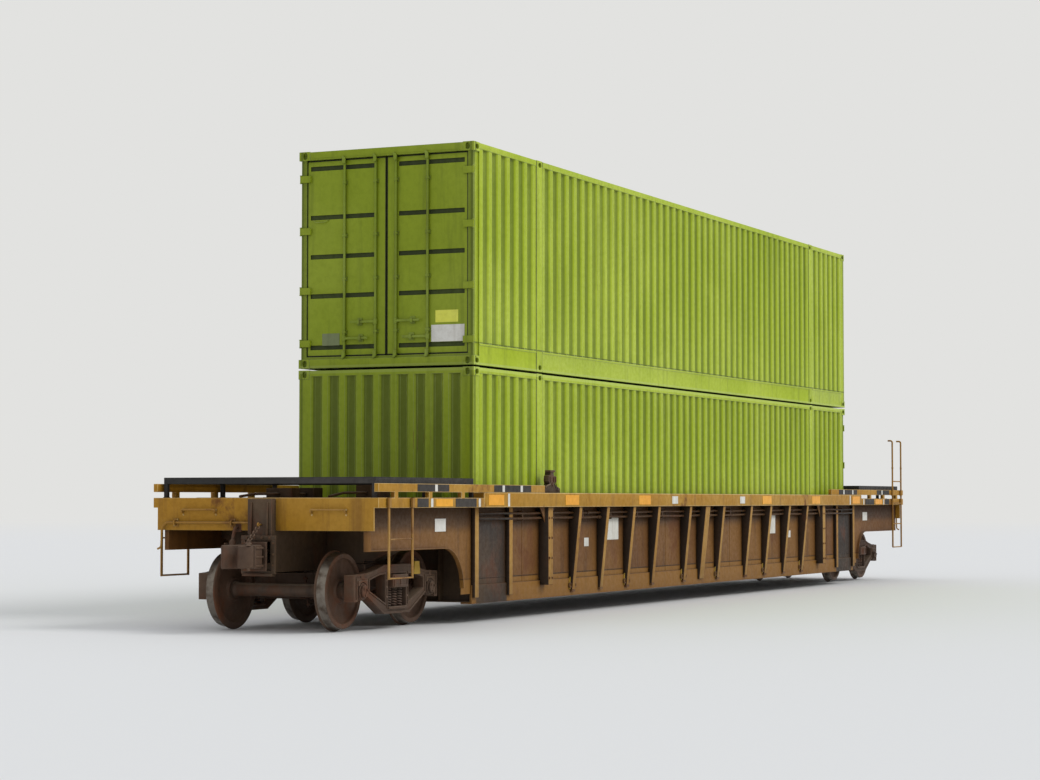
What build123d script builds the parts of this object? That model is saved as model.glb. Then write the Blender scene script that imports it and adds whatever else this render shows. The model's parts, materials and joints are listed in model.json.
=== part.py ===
# A stand-alone 53 foot container well car, a depressed-centre flatcar, with two steel containers
# stacked in its well. +X runs along the car towards the hand brake end (the b end), +Y is its left
# side, +Z is up. The origin is under the middle of the car, level with the tips of the wheel flanges.
# All sizes are in millimetres. Heights named "above the rail" are raised by the flange depth.
import math
import os

from build123d import *

# Wheels, axles and trucks
flange_depth = 28
wheel_diameter = 914
wheel_sides = 32
axle_sides = 16
rim_width = 146
rim_depth = 64
flange_width = 34
back_to_back = 1353
hub_radius = 135
plate_thickness = 42
plate_inset = 60
wheelbase = 1778
journal_spacing = 2006
axle_radius = 84
wheel_seat_radius = 100
seat_overhang = 20
hub_inset = 30
bearing_radius = 108
bearing_length = 176
end_cap_radius = 76
end_cap_length = 34
truck_offset = 1485

# Truck frames
frame_thickness = 130
frame_top = 760
frame_bottom = 165
frame_half_length = 1092
frame_middle = 330
pedestal_top = 655
pedestal_foot = 335
jaw_clearance = 12
adapter_height = 24
adapter_clearance = 0.3
column_half_gap = 236
spring_seat = 250
bolster_half_width = 190
bolster_top = 640
bolster_depth = 160
bolster_middle_depth = 270
bolster_knee_y = 500
bolster_shoulder_y = 780
bolster_end = 1130
spring_radius = 62
spring_sides = 12
spring_pitch = 142
center_bowl_radius = 200
center_plate_radius = 176
center_plate_height = 664
side_bearing_y = 635
side_bearing_gap = 6
brake_beam_width = 52
brake_beam_height = 70
brake_beam_drop = 60
brake_head_places = (715, 795)
brake_head_height = 210
shoe_clearance = 14

# Containers
box_length = 16154
box_width = 2591
box_height = 2896
post_span = 12192
casting_length = 178
casting_width = 162
casting_height = 118
wide_casting_width = 262
slot_length = 124.5
slot_width = 63.5
slot_spacing_x = 11985
slot_spacing_y = 2259
slot_depth = 60
top_rail_height = 80
top_rail_width = 62
bottom_rail_height = 280
bottom_rail_lip = 24
wall_thickness = 52
wall_inset = 8
rib_pitch = 279
front_rib_pitch = 255
rib_depth = 36
roof_rib_pitch = 560
roof_rib_depth = 20
roof_thickness = 44
roof_drop = 6
floor_height = 150
floor_thickness = 28
floor_beam_pitch = 914
floor_beam_width = 60
end_post_width = 130
header_height = 118
sill_height = 150
stack_gap = 25

# Container doors
door_thickness = 60
door_gap = 12
door_clearance = 8
hinge_inset_x = 15
hinge_inset_y = 17.5
hinge_radius = 12
hinge_offset = 30
hinge_height = 90
blade_reach = 60
hinge_shares = (0.066, 0.334, 0.640, 0.908)
door_post_front = 29
door_post_side = 23.5
door_post_inner = 100
rod_radius = 17
# Each lock rod: its share of the leaf's width, its handle's share of the door's height, and the way
# that the handle lies
lock_rods = ((0.122, 0.169, 1), (0.514, 0.087, -1))
rod_bracket_shares = (0.12, 0.39, 0.61, 0.88)
rod_bracket = (64, 44)
rod_inset = 20
rod_face_gap = 8
handle_length = 350
handle_size = (10, 28)
groove_heights = (0.04, 0.291, 0.492, 0.693, 0.955)
groove_inset = 50
groove_height = 60
groove_depth = 18

# Well of the car. Its containers stand clear of it all round.
box_base = 368
well_end_clearance = 73
well_side_clearance = 44.5
chord_outer = 1550
chord_bottom = 1450
chord_top = 1640
sheet_thickness = 12
sheet_bottom = 240
angle_thickness = 20
angle_height = 240
angle_width = 160
bulkhead_depth = 140
bulkhead_rib_places = (-900, -450, 450, 900)
bulkhead_rib_thickness = 14
cross_places = (0, 2000, 4000)
cross_width = 180
cross_drop = 30
brace_width = 90
brace_thickness = 12
post_places = (760, 2100, 3100, 4100, 5100)
post_width = 100
post_top_outer = 1522
post_foot_outer = 1404
post_foot = 300
end_post_place = 6100
end_post_x_width = 150
end_post_outer = 1500
end_post_foot = 400
panel_rib_setbacks = (1105, 70)
panel_rib_width = 110
panel_rib_outer = 1412

# Ends of the car over the trucks. Lengths start at the end of the well, setbacks at the end of the deck.
deck_length = 2860
deck_top = 1570
deck_thickness = 12
fascia_thickness = 60
tier_start = 6400
tier_top = 1740
tier_bracket_length = 90
tier_bracket_offsets = (610, 1510, 2410)
arch_top = 950
arch_radius = 520
arch_offset = 270
arch_foot = 350
arch_lip = 46
end_post_length = 90
end_sill_bottom = 1180
end_sill_thickness = 20
stub_half_width = 165
stub_bottom = 690
stub_wall = 20
stub_overhang = 90
draft_pocket_length = 740
draft_pocket_top = 1050
bolster_half_length = 150
wing_bottom = 800
wing_knee = 820
wing_tip = 1080
walkway_offset = 130
walkway_setback = 90
walkway_half_width = 1460
walkway_bottom = 1780
walkway_thickness = 36
walkway_leg = 50

# Couplers
coupler_height = 876
coupler_reach = 460
shank_half_width = 70
shank_half_height = 80
shank_gap = 60
head_length = 340
head_half_height = 140
knuckle_step = 10
# Outlines seen from above, as shares of the head's length from the pulling face and from the middle line
head_outline = ((-1, -0.21), (-0.74, -0.49), (-0.18, -0.56), (0.21, -0.63), (0.28, -0.5), (0, -0.35),
                (-0.24, -0.28), (-0.26, 0.18), (-0.18, 0.51), (-0.74, 0.49), (-1, 0.21))
knuckle_outline = ((-0.258, 0.184), (-0.2, 0.06), (-0.12, -0.06), (0, -0.1), (0.07, 0.06), (0.06, 0.32),
                   (-0.06, 0.485), (-0.176, 0.505))

# Ladders, steps and hand brake
ladder_setbacks = (820, 220)
stile_width = 40
stile_top = 2710
step_bottom = 610
rung_heights = (1068, 1470, 1900)
rung_radius = 11
rod_sides = 8
stand_y = 930
stand_box_bottom = 2100
stand_box_top = 2640
stand_box_depth = 120
wheel_rim_radius = 280
wheel_rim_width = 26
wheel_rim_sides = 24

# Container guides on the chords
guide_place = 6050
guide_length = 600
guide_top = 1950

rail = flange_depth
axle_height = rail + wheel_diameter / 2
box_half = box_length / 2
side_half = box_width / 2
well_half_length = box_half + well_end_clearance
well_half_width = side_half + well_side_clearance
well_end = well_half_length + bulkhead_depth
sheet_outer = well_half_width + sheet_thickness
support_places = (post_span / 2 - casting_length / 2, box_half - casting_length / 2)
truck_x = well_end + truck_offset
arch_foot_x = well_end + arch_offset
deck_end = well_end + deck_length
stub_end = deck_end + stub_overhang
draft_pocket_start = stub_end - draft_pocket_length
pulling_face = stub_end + coupler_reach
ladder_places = [deck_end - setback for setback in ladder_setbacks]


def block(x, y, z):
    """A box between the two values of each pair."""
    size = (x[1] - x[0], y[1] - y[0], z[1] - z[0])
    return Pos((x[0] + x[1]) / 2, (y[0] + y[1]) / 2, (z[0] + z[1]) / 2) * Box(*size)


def across(outline, y):
    """An outline of (x, z) points, made solid between two values of y."""
    face = make_face(Polyline(*[(a, y[0], b) for a, b in outline], close=True))
    return extrude(face, amount=y[1] - y[0], dir=(0, 1, 0))


def along(outline, x):
    """An outline of (y, z) points, made solid between two values of x."""
    face = make_face(Polyline(*[(x[0], a, b) for a, b in outline], close=True))
    return extrude(face, amount=x[1] - x[0], dir=(1, 0, 0))


def upright(outline, z):
    """An outline of (x, y) points, made solid between two heights."""
    face = make_face(Polyline(*[(a, b, z[0]) for a, b in outline], close=True))
    return extrude(face, amount=z[1] - z[0], dir=(0, 0, 1))


def faceted(radius, y, sides, taper=0):
    """A flat-sided disc about the Y axis, a flat at its lowest point. The radius is that of its flats."""
    outline = RegularPolygon(radius, sides, major_radius=False, rotation=180 / sides)
    return Pos(0, y[0], 0) * Rot(-90, 0, 0) * extrude(outline, y[1] - y[0], taper=taper)


def rod(start, end, radius):
    """A bar with few flat sides between two points."""
    start = Vector(*start)
    run = Vector(*end) - start
    return Plane(start, z_dir=run) * extrude(RegularPolygon(radius, rod_sides), run.length)


def other_side(shape):
    return mirror(shape, about=Plane.XZ)


def other_end(shape):
    return mirror(shape, about=Plane.YZ)


def turned_round(shape):
    return Rot(0, 0, 180) * shape


def joined(pieces):
    """Pieces that touch become one solid, and others stay separate solids of one node."""
    return Part() + list(pieces)


def ribs(start, end, pitch, depth):
    """Pressed ribs in the middle of the run between two ends, as (place, depth inwards) points."""
    count = max(1, int((end - start) / pitch))
    first = (start + end - count * pitch) / 2
    shape = ((0.15, 0), (0.32, depth), (0.68, depth), (0.85, 0))
    return [(first + pitch * (n + share), inwards) for n in range(count) for share, inwards in shape]


# Containers. Each is drawn with its doors at -X and its underside at height 0.
post_outer = post_span / 2
post_inner = post_outer - casting_length
frame_inner = box_half - casting_length
rail_line = side_half - wall_inset
roof_top = box_height - roof_drop


def casting(x, width, top, slotted):
    """A corner casting on the +Y side, which starts at x and stands at the top or the bottom."""
    base = box_height - casting_height if top else 0
    body = block((x, x + casting_length), (side_half - width, side_half), (base, base + casting_height))
    if slotted:
        middle = slot_spacing_x / 2 if x > 0 else -slot_spacing_x / 2
        slot = SlotOverall(slot_length, slot_width)
        body -= Pos(middle, slot_spacing_y / 2, box_height - slot_depth) * extrude(slot, slot_depth)
    return body


def wide_castings(top):
    """The castings of the 40 foot posts on the +Y side, blocks that the roof and floor make room for."""
    return [casting(x, wide_casting_width, top, False) for x in (-post_outer, post_inner)]


def container_side():
    """The +Y side: two rails, two stacking posts with castings and three ribbed sheets."""
    low, high = bottom_rail_height, box_height - top_rail_height
    pieces = [
        block((-frame_inner, frame_inner), (side_half - top_rail_width, side_half),
              (high, box_height - roof_drop)),
        block((-frame_inner, frame_inner), (side_half - wall_inset - wall_thickness, side_half - wall_inset),
              (bottom_rail_lip, low)),
        block((-frame_inner, frame_inner), (side_half - top_rail_width, side_half), (0, bottom_rail_lip)),
        block((-frame_inner, frame_inner), (side_half - top_rail_width, side_half),
              (low - bottom_rail_lip, low)),
    ]
    for x in (-post_outer, post_inner):
        pieces.append(block((x, x + casting_length), (side_half - wall_thickness - wall_inset, side_half),
                            (0, box_height)))
        pieces.append(casting(x, wide_casting_width, False, False))
        pieces.append(casting(x, wide_casting_width, True, True))
    for start, end in ((-frame_inner, -post_outer), (-post_inner, post_inner), (post_outer, frame_inner)):
        outline = [(x, rail_line - inwards) for x, inwards in ribs(start, end, rib_pitch, rib_depth)]
        outline = [(start, rail_line)] + outline + [(end, rail_line)]
        outline += [(end, rail_line - wall_thickness), (start, rail_line - wall_thickness)]
        pieces.append(upright(outline, (low, high)))
    return joined(pieces)


def container_roof():
    """The ribbed roof sheet between the top rails, cut round the castings of the stacking posts."""
    edge = side_half - top_rail_width
    outline = [(x, roof_top - inwards)
               for x, inwards in ribs(-frame_inner, frame_inner, roof_rib_pitch, roof_rib_depth)]
    outline = [(-frame_inner, roof_top)] + outline + [(frame_inner, roof_top)]
    outline += [(frame_inner, roof_top - roof_thickness), (-frame_inner, roof_top - roof_thickness)]
    roof = across(outline, (-edge, edge))
    for piece in wide_castings(True):
        roof -= piece
        roof -= other_side(piece)
    return roof


def container_floor():
    """The floor boards on their cross beams, between the bottom rails."""
    edge = side_half - wall_inset - wall_thickness
    floor = block((-frame_inner, frame_inner), (-edge, edge), (floor_height, floor_height + floor_thickness))
    beams = []
    count = int(frame_inner / floor_beam_pitch)
    low = bottom_rail_lip
    for n in range(-count, count + 1):
        middle = n * floor_beam_pitch
        beams.append(block((middle - floor_beam_width / 2, middle + floor_beam_width / 2),
                           (-edge, edge), (low, floor_height)))
    floor = joined([floor] + beams)
    for piece in wide_castings(False):
        floor -= piece
        floor -= other_side(piece)
    return floor


def end_castings():
    """The two corner castings of the +Y corner at +X."""
    return [casting(frame_inner, casting_width, top, False) for top in (False, True)]


def container_front():
    """The closed end at +X: corner posts with castings, header, sill and a ribbed sheet."""
    corner = end_castings()
    corner.append(block((frame_inner, box_half - wall_inset),
                        (side_half - end_post_width, side_half - wall_inset), (0, box_height - roof_drop)))
    inner = side_half - end_post_width
    pieces = corner + [other_side(piece) for piece in corner]
    pieces.append(block((frame_inner, box_half - wall_inset), (-inner, inner), (0, sill_height)))
    pieces.append(block((frame_inner, box_half - wall_inset), (-inner, inner),
                        (box_height - top_rail_height, box_height - roof_drop)))
    face = box_half - wall_inset
    outline = [(face - inwards, y) for y, inwards in ribs(-inner, inner, front_rib_pitch, rib_depth)]
    back = face - wall_thickness
    outline = [(face, -inner)] + outline + [(face, inner), (back, inner), (back, -inner)]
    pieces.append(upright(outline, (sill_height, box_height - top_rail_height)))
    return joined(pieces)


# The door end is at -X. The pins stand in the outer corners of the door posts.
pin_x = -box_half + hinge_inset_x
pin_y = side_half - hinge_inset_y
door_face = pin_x + hinge_offset
door_edge = side_half - door_post_inner - 0.5 * door_clearance
door_bottom = sill_height + door_clearance
door_top = box_height - header_height - door_clearance
door_height = door_top - door_bottom
hinge_heights = [door_bottom + share * door_height for share in hinge_shares]
post_face = -box_half + door_post_front


def container_rear():
    """The door frame at -X: posts with castings, header, sill and the lugs that hold the hinge pins."""
    corner = [other_end(piece) for piece in end_castings()]
    corner.append(block((post_face, -frame_inner), (side_half - door_post_inner, side_half - door_post_side),
                        (casting_height, box_height - casting_height)))
    for middle in hinge_heights:
        for low in (middle - hinge_height / 2 - hinge_radius, middle + hinge_height / 2):
            lug = block((pin_x - hinge_radius, post_face), (pin_y - hinge_radius, pin_y + hinge_radius),
                        (0, hinge_radius))
            corner.append(Pos(0, 0, low + (0.5 if low > middle else -0.5)) * lug)
    pieces = corner + [other_side(piece) for piece in corner]
    inner = side_half - door_post_inner
    outer = side_half - casting_width
    pieces.append(block((-box_half + wall_inset, -frame_inner), (-outer, outer), (0, casting_height)))
    pieces.append(block((post_face, -frame_inner), (-inner, inner), (casting_height, sill_height)))
    pieces.append(block((-box_half + wall_inset, -frame_inner), (-outer, outer),
                        (box_height - header_height, box_height - roof_drop)))
    return joined(pieces)


def door_leaf():
    """The +Y door leaf with its pressed grooves and hinge blades. It closes between the posts."""
    low_y = door_gap / 2
    leaf = block((door_face, door_face + door_thickness), (low_y, door_edge), (door_bottom, door_top))
    width = door_edge - low_y
    groove_y = (low_y + lock_rods[0][0] * width + rod_bracket[0] / 2, door_edge - groove_inset)
    for share in groove_heights:
        middle = door_top - share * door_height
        leaf -= block((door_face, door_face + groove_depth), groove_y,
                      (middle - groove_height / 2, middle + groove_height / 2))
    pieces = [leaf]
    for middle in hinge_heights:
        z = (middle - hinge_height / 2, middle + hinge_height / 2)
        pieces.append(rod((pin_x, pin_y, z[0]), (pin_x, pin_y, z[1]), hinge_radius))
        pieces.append(block((pin_x - 5, pin_x + 5), (door_edge - blade_reach, pin_y), z))
        pieces.append(block((pin_x + 5, door_face), (door_edge - blade_reach, door_edge - 5), z))
    return joined(pieces)


def door_gear():
    """The two lock rods of the +Y leaf, with their brackets and handles."""
    low_y = door_gap / 2
    width = door_edge - low_y
    rod_x = door_face - rod_radius - rod_face_gap
    pieces = []
    for place, handle_share, way in lock_rods:
        y = low_y + place * width
        pieces.append(rod((rod_x, y, door_bottom + rod_inset), (rod_x, y, door_top - rod_inset), rod_radius))
        for share in rod_bracket_shares:
            z = door_bottom + share * door_height
            pieces.append(Pos((rod_x + door_face) / 2, y, z) * Box(door_face - rod_x, *rod_bracket))
        z = door_bottom + handle_share * door_height
        handle = Box(handle_size[0], handle_length, handle_size[1])
        pieces.append(Pos(rod_x, y + way * handle_length / 2, z) * handle)
    return joined(pieces)


# The well car
deck_under = rail + deck_top - deck_thickness


def top_chord():
    return block((-well_end, well_end), (well_half_width, chord_outer), (rail + chord_bottom, rail + chord_top))


def side_sheet():
    """The +Y side sheet of the well, with the sheets that arch over the trucks at both ends."""
    y = (well_half_width, sheet_outer)
    top = rail + chord_bottom
    half = block((0, well_end), y, (rail + sheet_bottom, top))
    half += block((well_end, arch_foot_x + arch_radius), y, (rail + arch_foot, top))
    sheet_end = deck_end - end_sill_thickness
    half += block((arch_foot_x + arch_radius, sheet_end), y, (rail + arch_top, top))
    center = (arch_foot_x + arch_radius, rail + arch_top - arch_radius)
    round_y = (y[0], y[1] + arch_lip)
    barrel = Pos(center[0], sum(round_y) / 2, center[1]) * Rot(90, 0, 0)
    length = round_y[1] - round_y[0]
    below = block((arch_foot_x, center[0]), round_y, (rail + arch_foot, center[1]))
    half = half - barrel * Cylinder(arch_radius, length) - below
    lip = barrel * (Cylinder(arch_radius, length) - Cylinder(arch_radius - sheet_thickness, length))
    corner = block((arch_foot_x, center[0]), round_y, (center[1], center[1] + arch_radius))
    half += lip & corner
    half += block((center[0], sheet_end), round_y, (rail + arch_top - sheet_thickness, rail + arch_top))
    half += block((sheet_end - end_post_length, sheet_end), round_y, (rail + arch_top, top))
    return joined([half, other_end(half)])


def side_posts():
    """The +Y posts outside the side sheet: tapered ones, two upright ones and the ribs of the end panels."""
    taper = [(sheet_outer, rail + chord_bottom), (post_top_outer, rail + chord_bottom),
             (post_foot_outer, rail + post_foot), (sheet_outer, rail + post_foot)]
    pieces = [along(taper, (-post_width, post_width))]
    for place in post_places:
        post = along(taper, (place - post_width / 2, place + post_width / 2))
        pieces += [post, other_end(post)]
    half = end_post_x_width / 2
    end = block((end_post_place - half, end_post_place + half), (sheet_outer, end_post_outer),
                (rail + end_post_foot, rail + chord_bottom))
    pieces += [end, other_end(end)]
    for setback in panel_rib_setbacks:
        place = well_end - setback
        rib = block((place - panel_rib_width / 2, place + panel_rib_width / 2), (sheet_outer, panel_rib_outer),
                    (rail + post_foot, rail + chord_bottom))
        pieces += [rib, other_end(rib)]
    low = rail + sheet_bottom + angle_height - angle_thickness
    cut = block((-well_end, well_end), (sheet_outer, sheet_outer + angle_thickness), (rail, low))
    return joined(pieces) - cut


def bottom_chord():
    """The +Y angle along the foot of the side sheet. Its flat leg carries the floor beams."""
    base = rail + sheet_bottom - angle_thickness
    outer = sheet_outer + angle_thickness
    outline = [(outer - angle_width, base), (outer, base), (outer, base + angle_height),
               (sheet_outer, base + angle_height), (sheet_outer, base + angle_thickness),
               (outer - angle_width, base + angle_thickness)]
    return along(outline, (-well_end, well_end))


def floor_frame():
    """The cross beams. Those at the support places carry the lower container."""
    base = rail + sheet_bottom
    pieces = []
    places = [(place, cross_drop) for place in cross_places] + [(place, 0) for place in support_places]
    for place, drop in places:
        for x in {place, -place}:
            pieces.append(block((x - cross_width / 2, x + cross_width / 2), (-well_half_width, well_half_width),
                                (base, rail + box_base - drop)))
    return joined(pieces)


def floor_braces():
    """The crossed flat bars between the floor beams, as far as the stacking posts."""
    z = (rail + sheet_bottom, rail + sheet_bottom + brace_thickness)
    stations = sorted(cross_places + support_places[:1])
    reach = well_half_width - brace_width
    pieces = []
    for start, end in zip(stations, stations[1:]):
        low, high = start + cross_width / 2, end - cross_width / 2
        outline = [(low, -reach - brace_width), (low, -reach), (high, reach + brace_width), (high, reach)]
        bar = upright(outline, z)
        pieces += [bar, other_side(bar), other_end(bar), turned_round(bar)]
    return joined(pieces)


def bulkhead():
    """The plate that closes the +X end of the well, with upright ribs behind it."""
    base, top = rail + sheet_bottom, rail + chord_bottom
    y = (-well_half_width, well_half_width)
    pieces = [block((well_half_length, well_half_length + sheet_thickness), y, (base, top)),
              block((well_half_length, well_end), y, (base, base + sheet_thickness))]
    for place in bulkhead_rib_places:
        pieces.append(block((well_half_length, well_end),
                            (place - bulkhead_rib_thickness / 2, place + bulkhead_rib_thickness / 2),
                            (base, top)))
    return joined(pieces)


def stub_sill():
    """The box sill over the truck, with the pocket and carrier of the coupler and the centre plate."""
    y = (-stub_half_width, stub_half_width)
    sill = block((well_end, stub_end), y, (rail + stub_bottom, deck_under))
    inner = (-stub_half_width + stub_wall, stub_half_width - stub_wall)
    sill -= block((draft_pocket_start, stub_end), inner,
                  (rail + stub_bottom + stub_wall, rail + draft_pocket_top))
    carrier_top = rail + coupler_height - shank_half_height
    sill += block((stub_end - 4 * stub_wall, stub_end), inner, (rail + stub_bottom + stub_wall, carrier_top))
    plate = (rail + center_plate_height + adapter_clearance, rail + stub_bottom)
    middle = Pos(truck_x, 0, sum(plate) / 2)
    return sill + middle * Cylinder(center_plate_radius, plate[1] - plate[0])


def body_bolster():
    """The two tapered wings beside the stub sill, over the truck, with the upper side bearings."""
    outline = [(stub_half_width, rail + wing_bottom), (wing_knee, rail + wing_bottom),
               (well_half_width, rail + wing_tip), (well_half_width, deck_under), (stub_half_width, deck_under)]
    x = (truck_x - bolster_half_length, truck_x + bolster_half_length)
    wing = along(outline, x)
    wing += block(x, (side_bearing_y - 60, side_bearing_y + 60), (rail + wing_bottom - 30, rail + wing_bottom))
    return joined([wing, other_side(wing)])


def end_deck():
    """The deck over the +X truck, with its edge beams, end sill and the raised side rails."""
    half = chord_outer
    plate = (rail + deck_top - deck_thickness, rail + deck_top)
    pieces = [block((well_end, deck_end), (-half, half), plate)]
    edge = [block((well_end, deck_end), (half - fascia_thickness, half), (rail + chord_bottom, plate[0])),
            block((tier_start, deck_end), (half - fascia_thickness, half), (rail + chord_top, rail + tier_top))]
    for offset in tier_bracket_offsets:
        start = well_end + offset - tier_bracket_length / 2
        edge.append(block((start, start + tier_bracket_length), (half - fascia_thickness, half),
                          (plate[1], rail + chord_top)))
    pieces += edge + [other_side(piece) for piece in edge]
    wide = (stub_half_width, half - fascia_thickness)
    sill = block((deck_end - end_sill_thickness, deck_end), wide, (rail + end_sill_bottom, plate[0]))
    pieces += [sill, other_side(sill)]
    return joined(pieces)


def walkway():
    """The grating platform above the +X deck, on short legs."""
    base = rail + walkway_bottom
    edge = (-walkway_half_width, walkway_half_width)
    start, end = well_end + walkway_offset, deck_end - walkway_setback
    pieces = [block((start, end), edge, (base, base + walkway_thickness))]
    for x in (start, (start + end) / 2, end - walkway_leg):
        leg = block((x, x + walkway_leg), (walkway_half_width - walkway_leg, walkway_half_width),
                    (rail + deck_top, base))
        pieces += [leg, other_side(leg)]
    return joined(pieces)


def coupler():
    """The +X coupler: shank, head with its guard arm, and the knuckle in front of it."""
    z = (rail + coupler_height - shank_half_height, rail + coupler_height + shank_half_height)
    shank = block((draft_pocket_start + shank_gap, pulling_face - head_length),
                  (-shank_half_width, shank_half_width), z)
    tall = (rail + coupler_height - head_half_height, rail + coupler_height + head_half_height)
    low = (tall[0] + knuckle_step, tall[1] - knuckle_step)
    head, knuckle = [[(pulling_face + x * head_length, y * head_length) for x, y in outline]
                     for outline in (head_outline, knuckle_outline)]
    return joined([shank + upright(head, tall), upright(knuckle, low)])


def side_ladder():
    """The ladder at the +X end of the -Y side. Its stiles run up as grab posts with bent tops."""
    y = (-chord_outer - stile_width, -chord_outer)
    pieces = []
    for x in ladder_places:
        pieces.append(block((x - stile_width / 2, x + stile_width / 2), y,
                            (rail + step_bottom, rail + stile_top)))
        pieces.append(block((x - stile_width / 2, x + stile_width / 2), (y[0], y[1] + 2 * stile_width),
                            (rail + stile_top, rail + stile_top + stile_width / 2)))
    low, high = ladder_places
    for height in (step_bottom,) + rung_heights:
        pieces.append(rod((low, y[0] + stile_width / 2, rail + height + rung_radius),
                          (high, y[0] + stile_width / 2, rail + height + rung_radius), rung_radius))
    return joined(pieces)


def corner_steps():
    """Stirrup steps at the three corners that have no ladder."""
    low, high = ladder_places
    y = (chord_outer, chord_outer + stile_width)
    pieces = []
    for x in (low, high):
        pieces.append(block((x - stile_width / 2, x + stile_width / 2), y,
                            (rail + step_bottom, rail + deck_top)))
    for height in (step_bottom, rung_heights[0]):
        pieces.append(block((low, high), y, (rail + height, rail + height + stile_width / 2)))
    step = joined(pieces)
    return joined([step, other_end(step), turned_round(step)])


def brake_stand():
    """The hand brake on the +X deck: two tall posts that carry the gear box and its wheel."""
    low, high = ladder_places
    half = stile_width / 2
    pieces = []
    for x in (low, high):
        pieces.append(block((x - half, x + half), (stand_y - half, stand_y + half),
                            (rail + walkway_bottom + walkway_thickness, rail + stile_top)))
    box_y = (stand_y - half, stand_y + stand_box_depth)
    pieces.append(block((low + half, high - half), box_y, (rail + stand_box_bottom, rail + stand_box_top)))
    middle = ((low + high) / 2, stand_y + stand_box_depth, rail + (stand_box_bottom + stand_box_top) / 2)
    hub = Pos(*middle) * Rot(-90, 0, 0)
    width = wheel_rim_width
    rim = RegularPolygon(wheel_rim_radius, wheel_rim_sides)
    rim -= RegularPolygon(wheel_rim_radius - width, wheel_rim_sides)
    wheel = extrude(rim, width)
    for turn in (0, 90):
        wheel += Rot(0, 0, turn) * Pos(0, 0, width / 2) * Box(2 * wheel_rim_radius - width, width, width)
    reach = stand_box_depth / 4
    shaft = extrude(RegularPolygon(width, rod_sides), reach)
    pieces.append(hub * (Pos(0, 0, reach) * wheel + shaft))
    return joined(pieces)


def guides():
    """The folding container guides on the chords, one on each side, at opposite ends."""
    base = rail + chord_top
    y = (chord_outer - fascia_thickness - 90, chord_outer - fascia_thickness)
    outline = [(-guide_length / 2, base), (guide_length / 2, base), (guide_length / 2, base + 60),
               (60, base + 110), (20, rail + guide_top), (-70, rail + guide_top), (-120, base + 110),
               (-guide_length / 2, base + 60)]
    guide = across([(guide_place + x, z) for x, z in outline], y)
    return joined([guide, turned_round(guide)])


# Trucks, drawn about the middle of the car
journal_y = journal_spacing / 2
frame_y = (journal_y - frame_thickness / 2, journal_y + frame_thickness / 2)
half_base = wheelbase / 2
hub_face = back_to_back / 2 + rim_width - hub_inset
jaw = bearing_radius + jaw_clearance
pedestal_roof = wheel_diameter / 2 + bearing_radius + adapter_clearance + adapter_height


def side_frame():
    """The +Y cast side frame, with a spring seat, pedestal jaws and bearing adapters."""
    right = [(frame_middle, frame_bottom), (half_base - jaw, pedestal_foot + 60),
             (half_base - jaw, pedestal_roof), (half_base + jaw, pedestal_roof),
             (half_base + jaw, pedestal_foot), (frame_half_length, pedestal_foot),
             (frame_half_length, pedestal_top), (half_base - jaw, pedestal_top + 15),
             (frame_middle + 200, frame_top - 50), (frame_middle, frame_top)]
    left = [(-x, z) for x, z in reversed(right)]
    frame = across([(x, rail + z) for x, z in right + left], frame_y)
    frame -= block((-column_half_gap, column_half_gap), frame_y, (rail + spring_seat, rail + bolster_top + 10))
    column = column_half_gap + 64
    window = [(column, frame_bottom + 130), (column, frame_top - 110), (column + 150, frame_top - 120),
              (half_base - jaw - 66, pedestal_top - 70), (half_base - jaw - 66, pedestal_foot + 120)]
    hole = across([(x, rail + z) for x, z in window], frame_y)
    frame = frame - hole - other_end(hole)
    seat_y = (journal_y - 1.5 * spring_radius, journal_y + 1.5 * spring_radius)
    frame += block((-column_half_gap, column_half_gap), seat_y, (rail + spring_seat - 30, rail + spring_seat))
    bearing = Pos(half_base, journal_y, axle_height) * Rot(90, 0, 0)
    adapter = block((half_base - jaw + 5, half_base + jaw - 5),
                    (journal_y - bearing_length / 2, journal_y + bearing_length / 2),
                    (axle_height + 0.6 * bearing_radius, rail + pedestal_roof))
    adapter -= bearing * Cylinder(bearing_radius + adapter_clearance, bearing_length)
    return frame + adapter + other_end(adapter)


def truck_bolster():
    """The cast bolster through both side frames, with the centre bowl and side bearings."""
    top = rail + bolster_top
    low, deep = top - bolster_depth, top - bolster_middle_depth
    right = [(bolster_knee_y, deep), (bolster_shoulder_y, low), (bolster_end, low), (bolster_end, top)]
    outline = right + [(-y, z) for y, z in reversed(right)]
    beam = along(outline, (-bolster_half_width, bolster_half_width))
    bowl_top = rail + center_plate_height
    beam += Pos(0, 0, (top + bowl_top) / 2) * Cylinder(center_bowl_radius, bowl_top - top)
    bearing_top = rail + wing_bottom - 30 - side_bearing_gap
    pad = block((-120, 120), (side_bearing_y - 60, side_bearing_y + 60), (top, bearing_top))
    return beam + pad + other_side(pad)


def springs():
    """The outer coils that show between bolster and spring seat, one group in each side frame."""
    low, high = rail + spring_seat, rail + bolster_top - bolster_depth
    pieces = []
    for x in (-spring_pitch, 0, spring_pitch):
        coil = Pos(x, journal_y, low) * extrude(RegularPolygon(spring_radius, spring_sides), high - low)
        pieces += [coil, other_side(coil)]
    return joined(pieces)


def brake_beam():
    """The beam between the side frames at +X of the bolster, with a head and shoe behind each wheel."""
    low = axle_height - brake_beam_drop - brake_beam_height
    x = (column_half_gap, column_half_gap + brake_beam_width)
    beam = block(x, (-frame_y[0], frame_y[0]), (low, low + brake_beam_height))
    face = half_base - wheel_diameter / 2 - shoe_clearance
    middle, half = axle_height - brake_beam_drop / 2, brake_head_height / 2
    outline = [(x[1], low), (face, middle - half), (face, middle + half), (x[1], low + brake_beam_height)]
    head = across(outline, brake_head_places)
    return beam + head + other_side(head)


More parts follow.
